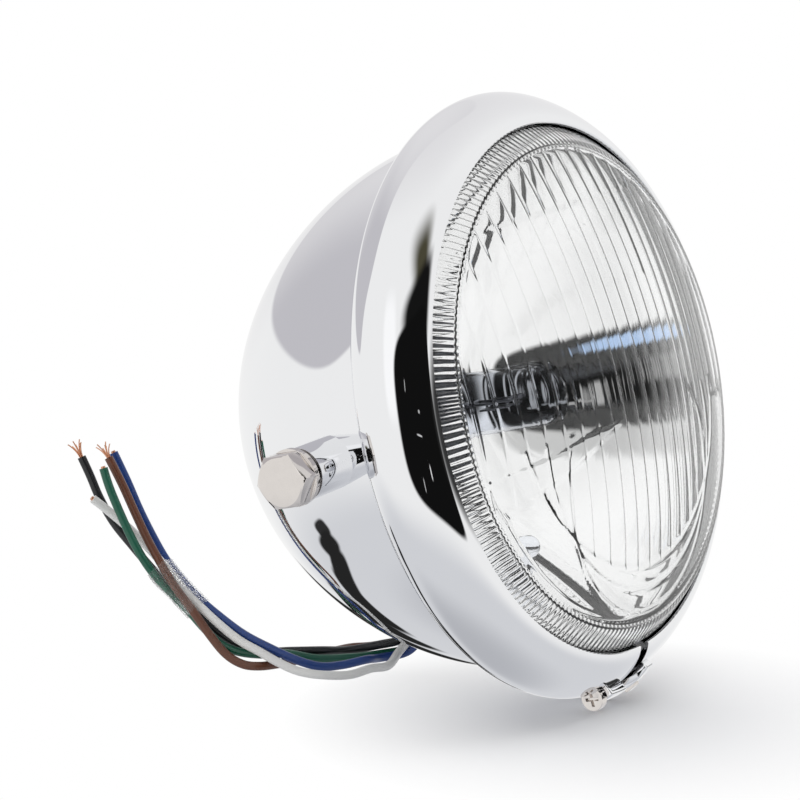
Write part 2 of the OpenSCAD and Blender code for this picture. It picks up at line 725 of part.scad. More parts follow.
bucket();
trim_ring();
clamp_screw();
clamp_nut();
lens();
lens_seal();
reflector();
retaining_ring();
snap_wire();
bulb_glass();
bulb_base();
bulb_filaments();
bulb_clip();
dust_boot();
bulb_plug();
park_bulb();
park_holder();
bolt_left();
bolt_right();
lock_washer_left();
lock_washer_right();
spacer_left();
spacer_right();
boss_left();
boss_right();
grommet();
wire_black();
wire_brown();
wire_blue();
wire_green();
wire_white();
copper_ends();
wire_tape();
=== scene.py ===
# %% [markdown]
# # A round motorcycle headlight in chrome and fluted glass
# This lesson dresses one lamp: a spun bowl, a split trim ring, a fluted glass in front of a mirror
# dish, two side bolts and five wires. The shapes already exist as CAD solids, packed as a frame.
# Such solids are exact, but bare: they have hard edges, no finish, and no fine relief in the glass.
# The lamp could be modelled again by eye. Here the frame is loaded first and every piece is built
# on its numbers, so that the looks and the solids can't drift apart.
#
# The frame's origin lies midway between the side bolts. The lamp looks along -Y, and +Z is up.
# Profiles are written in millimetres as [radius, distance ahead of the bolts].

# %% Load the frame
import math
import bmesh
import bpy
import numpy as np
from mathutils import Matrix, Vector


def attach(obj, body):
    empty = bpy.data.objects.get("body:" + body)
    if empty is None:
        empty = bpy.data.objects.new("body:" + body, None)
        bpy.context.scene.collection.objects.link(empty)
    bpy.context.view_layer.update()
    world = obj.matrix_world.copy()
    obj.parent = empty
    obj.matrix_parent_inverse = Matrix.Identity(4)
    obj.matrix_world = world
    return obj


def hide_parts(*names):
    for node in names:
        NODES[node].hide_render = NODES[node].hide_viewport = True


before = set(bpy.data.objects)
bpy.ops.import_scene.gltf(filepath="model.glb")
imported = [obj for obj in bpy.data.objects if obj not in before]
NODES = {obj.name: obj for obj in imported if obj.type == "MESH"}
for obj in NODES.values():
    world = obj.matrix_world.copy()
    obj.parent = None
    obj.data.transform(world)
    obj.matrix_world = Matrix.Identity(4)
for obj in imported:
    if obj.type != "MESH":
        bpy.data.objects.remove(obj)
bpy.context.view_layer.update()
MM = 0.001
print("nodes in the frame:", len(NODES))

# %% [markdown]
# ## The camera
# A product photograph is nearly free of perspective, so the lens is long: 150 mm, from 0.9 m away.
# A camera can be aimed with a Track To constraint, but that fixes its roll. The lamp in the
# photograph leans on its ring, while here it stands upright, as a part in a library should. So the
# camera takes over the lean: its three axes are written out, as they were fitted to the outlines
# of the bowl, the ring and the bolt.

# %% Place the camera
camera_data = bpy.data.cameras.new("photo_camera")
camera_data.lens = 150.17
camera_data.sensor_width = 36
camera_data.shift_x = -0.05
camera_data.shift_y = 0.025
camera_data.clip_end = 50
RIGHT = Vector((0.52923, -0.81887, -0.22220)).normalized()
DOWN = Vector((-0.21028, 0.12712, -0.96934)).normalized()
AHEAD = Vector((0.82201, 0.55973, -0.10491)).normalized()
camera = bpy.data.objects.new("photo_camera", camera_data)
bpy.context.scene.collection.objects.link(camera)
turn = Matrix((RIGHT, -DOWN, -AHEAD)).transposed().to_4x4()
camera.matrix_world = Matrix.Translation((-0.73808, -0.48899, 0.09149)) @ turn
bpy.context.scene.camera = camera
bpy.context.scene.view_settings.view_transform = "Standard"
print("camera at", [round(c, 3) for c in camera.location])

# %% [markdown]
# ## One maker for all materials
# No real surface is the same all over. Chrome has faint clouds from polishing, rubber is dusty,
# and plastic shows its mould. An image could carry that, but it needs a UV map and blurs up close.
# A noise on Object coordinates needs neither and runs right through the piece. So one function
# makes every material: a Principled shader whose colour and roughness drift a little with such a
# noise. What is the same all over is typed into the shader's own socket.

# %% Material maker
MATERIALS = {}


def surface(name, color, metallic=0.0, roughness=0.4, drift=0.03, scale=60, bump=0.0, **values):
    """A Principled material; drift is how far colour and roughness wander from their values."""
    material = bpy.data.materials.new(name)
    material.use_nodes = True
    nodes, links = material.node_tree.nodes, material.node_tree.links
    shader = nodes["Principled BSDF"]
    shader.inputs["Metallic"].default_value = metallic
    for socket, value in values.items():
        shader.inputs[socket.replace("_", " ")].default_value = value
    place = nodes.new("ShaderNodeTexCoord")
    noise = nodes.new("ShaderNodeTexNoise")
    noise.inputs["Scale"].default_value = scale
    noise.inputs["Detail"].default_value = 4
    links.new(place.outputs["Object"], noise.inputs["Vector"])
    rough = nodes.new("ShaderNodeMapRange")
    rough.inputs["To Min"].default_value = max(roughness * (1 - 4 * drift), 0)
    rough.inputs["To Max"].default_value = roughness * (1 + 4 * drift)
    links.new(noise.outputs["Fac"], rough.inputs["Value"])
    links.new(rough.outputs["Result"], shader.inputs["Roughness"])
    tint = nodes.new("ShaderNodeMix")
    tint.data_type = "RGBA"
    tint.inputs["A"].default_value = (*[c * (1 - drift) for c in color], 1)
    tint.inputs["B"].default_value = (*[min(c * (1 + drift), 1) for c in color], 1)
    links.new(noise.outputs["Fac"], tint.inputs["Factor"])
    links.new(tint.outputs["Result"], shader.inputs["Base Color"])
    if bump:
        relief = nodes.new("ShaderNodeBump")
        relief.inputs["Strength"].default_value = 0.4
        relief.inputs["Distance"].default_value = bump * MM
        links.new(noise.outputs["Fac"], relief.inputs["Height"])
        links.new(relief.outputs["Normal"], shader.inputs["Normal"])
    MATERIALS[name] = material
    return material

# %% [markdown]
# ### Metals
# The bowl and the ring are chromed: almost no colour, and nearly as clear as a mirror. The bolts
# are plated steel, warmer and a little duller. The spring washers and the small parts inside are
# dark, bare steel, and the dish is a vapour coat. Metallic is 1 for all of them, and the roughness
# tells them apart: at 0.02 the edge of a studio panel stays sharp in the metal, and at 0.35 only a
# glow is left of it.

# %% Metals
surface("chrome", (0.88, 0.885, 0.90), 1, 0.022, 0.015, 25)
surface("plated_steel", (0.74, 0.70, 0.67), 1, 0.06, 0.05, 400, 0.004)
surface("mirror_dish", (0.96, 0.96, 0.96), 1, 0.02, 0.01, 40)
surface("spring_steel", (0.20, 0.19, 0.185), 1, 0.18, 0.08, 500, 0.01)
surface("inner_steel", (0.22, 0.22, 0.23), 1, 0.35, 0.06, 400, 0.02)
surface("copper", (0.78, 0.40, 0.24), 1, 0.3, 0.08, 900, 0.02)
print("metals:", ", ".join(MATERIALS))

# %% [markdown]
# ### Glass and film
# A pane is often faked with a low alpha. This lens is a thick solid with flutes, and its whole
# look comes from how it bends what lies behind it, so it gets full transmission and the refraction
# of real glass. The bulbs are thin blown shells that were modelled as solid lumps. A shell hardly
# bends light, and a low index gives a lump the same calm look. The tape is a film: mostly clear,
# and partly left out by its alpha.

# %% Glass and film
surface("lens_glass", (0.995, 1.0, 0.998), 0, 0.004, 0.004, 90, Transmission_Weight=1, IOR=1.5)
surface("bulb_envelope", (0.90, 0.92, 0.96), 0, 0.01, 0.01, 90, Transmission_Weight=1, IOR=1.10)
surface("clear_tape", (0.93, 0.93, 0.92), 0, 0.08, 0.04, 300, 0.05, Transmission_Weight=0.9,
        IOR=1.12, Alpha=0.35)
print("materials so far:", len(MATERIALS))

# %% [markdown]
# ### Rubber, plastic and the sleeves of the wires
# These scatter light instead of mirroring it, so the base colour carries the look. Soft wire
# sleeves keep a slight sheen at a roughness of about 0.3, and rubber has almost none at 0.6. Very
# dark colours are kept a little above black, because nothing real is quite black.

# %% Rubber, plastic and sleeves
surface("seal_rubber", (0.02, 0.02, 0.021), 0, 0.6, 0.08, 900, 0.05)
surface("plug_plastic", (0.62, 0.58, 0.48), 0, 0.5, 0.05, 500, 0.03)
surface("dark_plastic", (0.03, 0.03, 0.032), 0, 0.45, 0.06, 500, 0.03)
surface("black_wire", (0.012, 0.013, 0.015), 0, 0.32, 0.06, 500, 0.03)
surface("brown_wire", (0.13, 0.045, 0.022), 0, 0.32, 0.06, 500, 0.03)
surface("blue_wire", (0.012, 0.05, 0.22), 0, 0.32, 0.06, 500, 0.03)
surface("green_wire", (0.012, 0.11, 0.065), 0, 0.32, 0.06, 500, 0.03)
surface("white_wire", (0.80, 0.80, 0.78), 0, 0.34, 0.03, 500, 0.03)
print("materials:", len(MATERIALS))

# %% [markdown]
# ## Placing a piece
# A piece needs its material, its body, and the CAD nodes it replaces hidden. Typed out for each
# piece, one of them would soon be forgotten, so one function does all three. A piece may wear
# another material than the one named like its slot.


# %% Place a piece
def place(obj, slot, *nodes, coat=None):
    """Gives a piece its material and its body, and hides the CAD nodes it replaces."""
    if not obj.users_collection:
        bpy.context.scene.collection.objects.link(obj)
    obj.data.materials.clear()
    obj.data.materials.append(MATERIALS[coat or slot])
    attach(obj, "root")
    if nodes:
        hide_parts(*nodes)
    return obj


# %% [markdown]
# ## The five wires: where they leave the bowl
# The wires come out of a rubber grommet, low at the back of the bowl and square to its wall. That
# wall is spun over a form, and its outline is blunt at the back and nearly straight along the
# flank. Picking the grommet's place and tilt by eye would leave a gap on one side. The outline is
# a formula here, so both are worked out from it.

# %% The outline of the bowl
BOWL_R, BOWL_DEPTH, NOSE, SWELL, HEM = 72.25, 77.5, 1.7, -0.49, 12.5
BOWL_BACK = HEM - BOWL_DEPTH


def bowl_radius(s):
    """The bowl's outer radius at a distance s ahead of the bolts."""
    x = min(max((s - BOWL_BACK) / BOWL_DEPTH, 0), 1)
    return BOWL_R * math.sqrt(max(NOSE * x + SWELL * x * x + (1 - NOSE - SWELL) * x ** 3, 0))


print("bowl radius at the bolts:", round(bowl_radius(0), 2))

# %% The way out through the grommet
WIRE_R = 1.2
OUTLET_S, NEAR, LEAD = -34, 0.1, 6
OUTLET_R = bowl_radius(OUTLET_S)
OUTLET_TILT = math.atan2(bowl_radius(OUTLET_S + NEAR) - bowl_radius(OUTLET_S - NEAR), 2 * NEAR)
OUTLET = Vector((0, -OUTLET_S, -OUTLET_R))
OUT = Vector((0, math.sin(OUTLET_TILT), -math.cos(OUTLET_TILT)))
BESIDE = Vector((0, math.cos(OUTLET_TILT), math.sin(OUTLET_TILT)))
BUNDLE_R = WIRE_R / math.sin(math.radians(36)) + 0.16


def lead(k):
    """The straight start of wire k: the five wires pass the grommet as a pentagon."""
    a = math.radians(72 * k)
    spot = OUTLET + BUNDLE_R * (math.cos(a) * Vector((-1, 0, 0)) + math.sin(a) * BESIDE)
    return [spot + out * OUT for out in (-LEAD, 0, LEAD)]


print("outlet tilt:", round(math.degrees(OUTLET_TILT), 1), "degrees")

# %% [markdown]
# ## The five wires: their routes
# The wires drop to the floor, run back, and rise again in a loose bunch. They were bent by hand,
# so no formula draws them. A rope simulation would find some other way to lie. So each route is a
# short list of points, and one smooth curve is passed through them. The curve is of a kind that
# meets every point, where a Bezier or NURBS curve only comes near its inner ones.


# %% A smooth curve through points
def through(points, per=6):
    """A smooth curve through the points, with per steps from one point to the next."""
    p = [Vector(q) for q in points]
    out = []
    for i in range(len(p) - 1):
        a, b, c, d = p[max(i - 1, 0)], p[i], p[i + 1], p[min(i + 2, len(p) - 1)]
        for k in range(per):
            t = k / per
            out.append(0.5 * (2 * b + (c - a) * t + (2 * a - 5 * b + 4 * c - d) * t * t
                              + (3 * b - a - 3 * c + d) * t ** 3))
    return out + [p[-1]]


# %% The routes
WAYS = {
    "white": (0, [
        [-6, 40, -63.5], [-15, 38, -65], [-21, 39.5, -64], [-28.5, 41.5, -63.5], [-34, 46.5, -61.5],
        [-35.5, 52.5, -59.5], [-35.5, 58.5, -56.5], [-35, 64.5, -53], [-35, 70, -49.5],
        [-35, 75.5, -44.5], [-35, 81, -38.5], [-35, 86, -32.5], [-35, 89.5, -26.5],
        [-36, 92.5, -21], [-37.5, 96, -15], [-40, 99.5, -9], [-43, 102, -4]]),
    "black": (1, [
        [-2.5, 42, -61], [-5, 45.5, -61], [-10.5, 53, -60.5], [-19, 56, -58], [-25, 61.5, -56],
        [-29, 67.5, -54.5], [-31.5, 73, -51.5], [-32.5, 78, -47.5], [-33, 83, -42.5],
        [-33.5, 87.5, -37], [-34.5, 91, -31.5], [-36, 94, -25.5], [-37, 97.5, -19],
        [-38, 101, -12], [-39, 103, -4.5], [-39.5, 104, 2], [-40, 105, 7.5]]),
    "brown": (2, [
        [0.5, 42.5, -61.5], [-3.5, 50, -61.5], [-7.5, 55, -60.5], [-17, 58, -59.5], [-23.5, 61, -59],
        [-30.5, 62.5, -58], [-35.5, 65, -57], [-37.5, 69, -55.5], [-38, 73.5, -52], [-38, 77.5, -46],
        [-38, 81.5, -38.5], [-38.5, 85, -31.5], [-39, 87.5, -24.5], [-39, 90, -17.5], [-39, 92, -10],
        [-39, 94, -2], [-39, 96.5, 6]]),
    "green": (3, [
        [0, 41, -64], [-6, 46.5, -63.5], [-13.5, 50, -62], [-22, 55.5, -59.5], [-28, 60.5, -56],
        [-32, 66.5, -54.5], [-34.5, 72, -52.5], [-35.5, 76.5, -49.5], [-35.5, 80.5, -45],
        [-36, 84, -39.5], [-37.5, 87, -34], [-40, 89, -28.5], [-42, 90.5, -22.5], [-43, 92, -16],
        [-43.5, 93.5, -8.5], [-44, 94.5, -1.5], [-44, 95, 4]]),
    "blue": (4, [
        [-2.5, 40, -64.5], [-8.5, 44.5, -64], [-16, 44, -62.5], [-22, 48, -62], [-27.5, 51.5, -60.5],
        [-31, 56.5, -57], [-32, 63, -53], [-32, 70.5, -48.5], [-31.5, 77.5, -43], [-31.5, 83.5, -37],
        [-31.5, 88, -31], [-31.5, 91.5, -25], [-31.5, 94, -18.5], [-32, 96, -10.5],
        [-32.5, 97.5, -2], [-33.5, 99, 6.5]]),
}
LINES = {color: through(lead(k) + way) for color, (k, way) in WAYS.items()}
print("points on the white wire:", len(LINES["white"]))

# %% [markdown]
# ## The five wires: their sleeves
# Each wire is a round sleeve of soft plastic, 2.4 mm thick. It could be skinned as a mesh, ring by
# ring. A Blender curve with a round bevel does the same in a few lines, keeps its section round in
# every bend, and closes its own ends.


# %% Sleeve the wires
def tube(name, points, r, sides=6):
    """A curve with a round section along points in millimetres."""
    curve = bpy.data.curves.new(name, "CURVE")
    curve.dimensions = "3D"
    curve.bevel_depth = r * MM
    curve.bevel_resolution = sides
    curve.use_fill_caps = True
    spline = curve.splines.new("POLY")
    spline.points.add(len(points) - 1)
    for knot, p in zip(spline.points, points):
        knot.co = (p[0] * MM, p[1] * MM, p[2] * MM, 1)
    obj = bpy.data.objects.new(name, curve)
    bpy.context.scene.collection.objects.link(obj)
    return obj


for color, line in LINES.items():
    sleeve = tube("wire_" + color + "_sleeve", line, WIRE_R)
    place(sleeve, color + "_wire", "wire_" + color)
    length = sum((b - a).length for a, b in zip(line, line[1:]))
    print(color, "wire:", round(length, 1), "mm")

# %% [markdown]
# ## Bare copper at the far ends
# The sleeves are cut off at the far ends. Black and brown show seven loose strands that splay
# apart, and the others only the copper in the middle of the cut. One strand could be modelled and
# copied by hand, but every end is a little different. So a geometry node tree grows them, with the
# count, the reach, the thickness and the splay as its named inputs.
#
# Two small helpers make such trees readable: one opens a tree with its inputs, the other adds a
# node and plugs its wires in, in order.


# %% Helpers for node trees
def tree(name, **inputs):
    """A new geometry node tree with named inputs; returns it and its group input node."""
    group = bpy.data.node_groups.new(name, "GeometryNodeTree")
    group.interface.new_socket("Geometry", in_out="INPUT", socket_type="NodeSocketGeometry")
    group.interface.new_socket("Geometry", in_out="OUTPUT", socket_type="NodeSocketGeometry")
    for label, value in inputs.items():
        kind = {int: "NodeSocketInt", float: "NodeSocketFloat"}.get(type(value), "NodeSocketMaterial")
        socket = group.interface.new_socket(label.replace("_", " "), in_out="INPUT", socket_type=kind)
        socket.default_value = value
    return group, group.nodes.new("NodeGroupInput")


def add(group, kind, *wires, **settings):
    """Adds a node; wires go into its inputs in order, as sockets or plain values."""
    node = group.nodes.new(kind)
    for key, value in settings.items():
        setattr(node, key, value)
    live = [socket for socket in node.inputs if socket.enabled]
    for socket, wire in zip(live, wires):
        if wire is None:
            continue
        if isinstance(wire, bpy.types.NodeSocket):
            group.links.new(wire, socket)
        else:
            socket.default_value = wire
    return node.outputs[0] if len(node.outputs) else node


# %% Start the tree of the strands
strand_tree, given = tree("copper_strands", Strands=7, Reach=0.005, Radius=0.00017, Splay=0.12,
                          Metal=MATERIALS["copper"])


def strand_math(kind, *wires):
    """A Math node in the tree of the strands."""
    return add(strand_tree, "ShaderNodeMath", *wires, operation=kind)


print("inputs:", [item.name for item in strand_tree.interface.items_tree if item.in_out == "INPUT"])

# %% [markdown]
# A strand starts a little inside the cut, leans outwards more and more, and ends at its reach.
# That is a quadratic Bezier with a small circle swept along it. The strands stand round the
# middle one, each turned on by 2.4 radians, the angle at which seeds sit in a sunflower, so that
# none hides another.

# %% One strand
START_INSIDE, STRAND_STEPS, STRAND_SIDES = 0.0004, 6, 8
reach = given.outputs["Reach"]
arc = add(strand_tree, "GeometryNodeCurveQuadraticBezier", STRAND_STEPS, (0, 0, -START_INSIDE))
middle = add(strand_tree, "ShaderNodeCombineXYZ", 0.0, 0.0, strand_math("MULTIPLY", reach, 0.5))
sideways = strand_math("MULTIPLY", reach, given.outputs["Splay"])
tip = add(strand_tree, "ShaderNodeCombineXYZ", sideways, 0.0, reach)
section = add(strand_tree, "GeometryNodeCurvePrimitiveCircle")
section.node.inputs["Resolution"].default_value = STRAND_SIDES
strand = add(strand_tree, "GeometryNodeCurveToMesh")
strand.node.inputs["Fill Caps"].default_value = True
for wire, node, label in ((middle, arc.node, "Middle"), (tip, arc.node, "End"),
                          (given.outputs["Radius"], section.node, "Radius"),
                          (arc, strand.node, "Curve"), (section, strand.node, "Profile Curve")):
    strand_tree.links.new(wire, node.inputs[label])
print("nodes so far:", len(strand_tree.nodes))

# %% Strands round the middle one
TURN_ON, RING_OF_STRANDS, STRAND_SEED = 2.4, 0.00042, 4
index = add(strand_tree, "GeometryNodeInputIndex")
swing = strand_math("MULTIPLY", index, TURN_ON)
out_from_middle = strand_math("MULTIPLY", strand_math("GREATER_THAN", index, 0.5), RING_OF_STRANDS)
spot = add(strand_tree, "ShaderNodeCombineXYZ",
           strand_math("MULTIPLY", out_from_middle, strand_math("COSINE", swing)),
           strand_math("MULTIPLY", out_from_middle, strand_math("SINE", swing)))
dots = add(strand_tree, "GeometryNodePoints", given.outputs["Strands"])
dots = add(strand_tree, "GeometryNodeSetPosition", dots, None, spot)
facing = add(strand_tree, "ShaderNodeCombineXYZ", 0.0, 0.0, swing)
drawn = add(strand_tree, "FunctionNodeRandomValue", data_type="FLOAT").node
drawn.inputs["Seed"].default_value = STRAND_SEED
for socket in drawn.inputs:
    if socket.enabled and socket.name in ("Min", "Max"):
        socket.default_value = 0.65 if socket.name == "Min" else 1.0
drawn_length = [socket for socket in drawn.outputs if socket.enabled][0]
stretch = add(strand_tree, "ShaderNodeCombineXYZ", 1.0, 1.0, drawn_length)
print("nodes so far:", len(strand_tree.nodes))

# %% Lay the strands and close the tree
laid = add(strand_tree, "GeometryNodeInstanceOnPoints")
for label, wire in (("Points", dots), ("Instance", strand), ("Rotation", facing), ("Scale", stretch)):
    strand_tree.links.new(wire, laid.node.inputs[label])
real = add(strand_tree, "GeometryNodeRealizeInstances", laid)
done = add(strand_tree, "GeometryNodeSetMaterial", real)
strand_tree.links.new(given.outputs["Metal"], done.node.inputs["Material"])
strand_tree.links.new(done, strand_tree.nodes.new("NodeGroupOutput").inputs[0])
print("nodes in the tree:", len(strand_tree.nodes))

# %% [markdown]
# A tree runs as a modifier on some mesh, here a single small triangle that it ignores. The
# evaluated result is then kept as a plain mesh and the modifier is dropped, because the export
# loses instances. Three helpers do this: one makes a clean mesh, one bakes modifiers, and one sets
# a tree's inputs by their identifiers and bakes it.


# %% Helpers for meshes
def solid(name, points, faces, sharp=40, weld=1e-7, layers=None):
    """A closed mesh from points in millimetres, with outward normals and smooth shading.
    layers are named numbers, one for each point, that a node tree can read."""
    mesh = bpy.data.meshes.new(name)
    mesh.from_pydata([tuple(float(c) * MM for c in p) for p in points], [], faces)
    for layer, numbers in (layers or {}).items():
        mesh.attributes.new(layer, "FLOAT", "POINT").data.foreach_set("value", np.array(numbers, np.float32))
    work = bmesh.new()
    work.from_mesh(mesh)
    bmesh.ops.remove_doubles(work, verts=work.verts, dist=weld)
    bmesh.ops.dissolve_degenerate(work, edges=work.edges, dist=weld)
    bmesh.ops.recalc_face_normals(work, faces=work.faces)
    work.to_mesh(mesh)
    work.free()
    mesh.shade_smooth()
    mesh.set_sharp_from_angle(angle=math.radians(sharp))
    obj = bpy.data.objects.new(name, mesh)
    bpy.context.scene.collection.objects.link(obj)
    return obj


def baked(obj, sharp=40):
    """Applies an object's modifiers by taking the evaluated mesh."""
    graph = bpy.context.evaluated_depsgraph_get()
    mesh = bpy.data.meshes.new_from_object(obj.evaluated_get(graph))
    obj.modifiers.clear()
    obj.data = mesh
    mesh.shade_smooth()
    mesh.set_sharp_from_angle(angle=math.radians(sharp))
    return obj


def grown(obj, group, **values):
    """Runs a node tree on an object with the values of its named inputs, then keeps the mesh."""
    step = obj.modifiers.new(group.name, "NODES")
    step.node_group = group
    for item in group.interface.items_tree:
        label = item.name.replace(" ", "_")
        if item.item_type == "SOCKET" and item.in_out == "INPUT" and label in values:
            step[item.identifier] = values[label]
    return baked(obj, 60)


# %% Put copper on every wire
STRANDED = {"black": (7, 0.0052, 0.00017, 0.30), "brown": (7, 0.0047, 0.00017, 0.34)}
CUT_FLUSH = (1, 0.0006, 0.0006, 0.0)
for color in ("black", "brown", "white", "green", "blue"):
    count, reach, radius, splay = STRANDED.get(color, CUT_FLUSH)
    end = solid("copper_" + color, [(0, 0, 0), (1, 0, 0), (0, 1, 0)], [(0, 1, 2)])
    grown(end, strand_tree, Strands=count, Reach=reach, Radius=radius, Splay=splay)
    line = LINES[color]
    heading = (line[-1] - line[-3]).normalized().to_track_quat("Z", "X").to_matrix().to_4x4()
    end.data.transform(Matrix.Translation(line[-1] * MM) @ heading)
    place(end, "copper", *(["copper_ends"] if color == "black" else []))

# %% [markdown]
# ## The tape
# A turn of clear tape holds the bunch together. A plain ring would float off the wires or cut
# through them. Pulled tape spans from wire to wire in straight stretches and bends only round the
# outermost ones, which is the convex outline of the bunch. So at each place along the bunch the
# wires are cut by a plane, and the outline round the cuts is found by asking, for every
# direction, how far the outermost wire reaches. A slight wave keeps it from looking moulded.


# %% The outline of tight tape
TAPE_SIDES, LOOKS, TAPE_WAVE = 48, 180, 0.12


def wires_through(centre, run):
    """Where the wires cross the plane at centre, measured along two directions in that plane."""
    u = run.orthogonal().normalized()
    w = run.cross(u)
    cores = []
    for line in LINES.values():
        side = [(p - centre).dot(run) for p in line]
        for a, b, p, q in zip(side, side[1:], line, line[1:]):
            if a < 0 <= b and (p - centre).length < 15:
                cross = p + (q - p) * (a / (a - b)) - centre
                cores.append((cross.dot(u), cross.dot(w)))
    return u, w, np.array(cores)


def tape_ring(centre, run, margin, phase):
    """Points of a tight loop round the wires where they cross the plane at centre."""
    u, w, cores = wires_through(centre, run)
    look = np.linspace(0, 2 * math.pi, LOOKS, endpoint=False)
    reach = (cores @ np.stack([np.cos(look), np.sin(look)])).max(0) + WIRE_R + margin
    loop = []
    for k in range(TAPE_SIDES):
        a = 2 * math.pi * k / TAPE_SIDES
        facing = np.cos(look - a)
        r = float((reach[facing > 0.05] / facing[facing > 0.05]).min())
        r += TAPE_WAVE * math.sin(5 * a + phase)
        loop.append(centre + r * (math.cos(a) * u + math.sin(a) * w))
    return loop


# %% Wrap the tape
MIDDLE = through([[-34.5, 82, -39.5], [-35, 85, -35], [-35.5, 88, -30.5], [-36, 90.5, -26.5]], 4)
OUTSIDE, INSIDE = 0.45, 0.2
outer, inner = [], []
for i, spot in enumerate(MIDDLE):
    run = (MIDDLE[min(i + 1, len(MIDDLE) - 1)] - MIDDLE[max(i - 1, 0)]).normalized()
    outer.append(tape_ring(spot, run, OUTSIDE, 0.4 * i))
    inner.append(tape_ring(spot, run, INSIDE, 0.4 * i))
rings = outer + inner[::-1]
points = [p for ring in rings for p in ring]
faces = []
for i in range(len(rings)):
    j = (i + 1) % len(rings)
    for k in range(TAPE_SIDES):
        n = (k + 1) % TAPE_SIDES
        faces.append((i * TAPE_SIDES + k, i * TAPE_SIDES + n, j * TAPE_SIDES + n, j * TAPE_SIDES + k))
tape = place(solid("tape_wrap", points, faces), "clear_tape", "wire_tape")
print("tape faces:", len(tape.data.polygons))

# %% [markdown]

# %% [markdown]
# ## The bowl: a lathe for round pieces
# Bowl, ring and dish are all round about the lamp's axis. A Spin or a Screw modifier would turn an
# outline, but a ring that is split by a slit with straight sides needs its two ends placed by
# hand. So a small lathe writes the points itself. An outline becomes a wall by moving it sideways,
# square to its own run, which keeps the sheet equally thick round every bend.


# %% A lathe and a wall maker
def lathe(name, profile, segments, gap=0.0, sharp=40):
    """Turns a closed profile of [radius, ahead] about the lamp's axis. gap is half the width
    of a slit left open at the bottom, with straight sides."""
    profile = np.array(profile, float)
    count = len(profile)
    steps = segments + 1 if gap else segments
    points, faces = [], []
    for i in range(steps):
        for r, s in profile:
            a0 = math.asin(min(gap / max(r, 1e-6), 1)) if gap else 0.0
            a = a0 + (2 * math.pi - 2 * a0) * i / segments
            points.append((r * math.sin(a), -s, -r * math.cos(a)))
    for i in range(segments):
        j = (i + 1) % steps
        for k in range(count):
            m = (k + 1) % count
            faces.append((i * count + k, i * count + m, j * count + m, j * count + k))
    if gap:
        faces.append(tuple(range(count)))
        faces.append(tuple(segments * count + k for k in range(count)))
    return solid(name, points, faces, sharp)


def side_step(path, t):
    """A path moved sideways by t, to its left as it runs."""
    p = np.array(path, float)
    d = np.gradient(p, axis=0)
    d /= np.linalg.norm(d, axis=1)[:, None]
    return p + t * np.stack([-d[:, 1], d[:, 0]], axis=1)


# %% [markdown]
# ## The bowl: its shell
# The bowl is spun from 1.2 mm steel. Its outline is the formula from above, sampled more densely
# near the blunt back, where it curves most, and its rim turns out into a flat seat for the ring.

# %% Turn the bowl
BOWL_WALL, STEPS_BACK, BOWL_SIDES = 1.2, 90, 240
SEAT_OUT, SEAT_BACK, SEAT_FRONT = 3.4, 15.9, 17.1
along_bowl = [BOWL_BACK + BOWL_DEPTH * (i / STEPS_BACK) ** 2 for i in range(STEPS_BACK + 1)]
skin = [[bowl_radius(s), s] for s in along_bowl]
skin[0][0] = 0.0
inside = side_step(skin, BOWL_WALL)
inside[0][0] = 0.0
rim = [[BOWL_R, SEAT_BACK], [BOWL_R + SEAT_OUT, SEAT_BACK], [BOWL_R + SEAT_OUT, SEAT_FRONT],
       [BOWL_R - BOWL_WALL, SEAT_FRONT]]
bowl = lathe("bowl_shell", skin + rim + list(inside[::-1]), BOWL_SIDES)
print("bowl faces before drilling:", len(bowl.data.polygons))

# %% [markdown]
# ## The bowl: its holes
# The shell is drilled for the two side bolts and for the grommet. Faces could be picked and
# deleted, but the hole would then have their ragged outline. A Boolean with a many-sided rod cuts
# a clean edge through both skins and closes the wall between them.


# %% A drill
def cut(obj, *cutters, sharp=40):
    """Takes the cutters out of obj and removes them from the scene."""
    for cutter in cutters:
        step = obj.modifiers.new("cut", "BOOLEAN")
        step.operation = "DIFFERENCE"
        step.solver = "EXACT"
        step.object = cutter
    baked(obj, sharp)
    for cutter in cutters:
        bpy.data.objects.remove(cutter)
    return obj


def rod(start, end, r, sides=64):
    """A plain closed rod in millimetres, used as a cutter."""
    start, end = Vector(start), Vector(end)
    axis = (end - start).normalized()
    u = axis.orthogonal().normalized()
    w = axis.cross(u)
    ring = [r * (math.cos(2 * math.pi * k / sides) * u + math.sin(2 * math.pi * k / sides) * w)
            for k in range(sides)]
    points = [start + q for q in ring] + [end + q for q in ring]
    faces = [(k, (k + 1) % sides, sides + (k + 1) % sides, sides + k) for k in range(sides)]
    faces += [tuple(range(sides)), tuple(range(sides, 2 * sides))]
    return solid("cutter", points, faces)


# %% Drill the bowl
BOLT_HOLE_R, GROMMET_HOLE_R, DRILL_HALF, DRILL_REACH = 4.2, 6.5, 90, 10
cut(bowl, rod((-DRILL_HALF, 0, 0), (DRILL_HALF, 0, 0), BOLT_HOLE_R),
    rod(OUTLET - DRILL_REACH * OUT, OUTLET + DRILL_REACH * OUT, GROMMET_HOLE_R))
place(bowl, "chrome", "bucket")
print("bowl faces:", len(bowl.data.polygons))

# %% [markdown]
# ## The trim ring: its outline
# The ring is pressed from 1 mm sheet: a tight roll at the back, then a long slope down to the
# lip in front of the glass. Chrome shows every kink of such an outline as a broken reflection.
# So it is made of two rounded quarters, then cut into steps of equal length, and smoothed over a
# millimetre, so that its bend changes slowly.


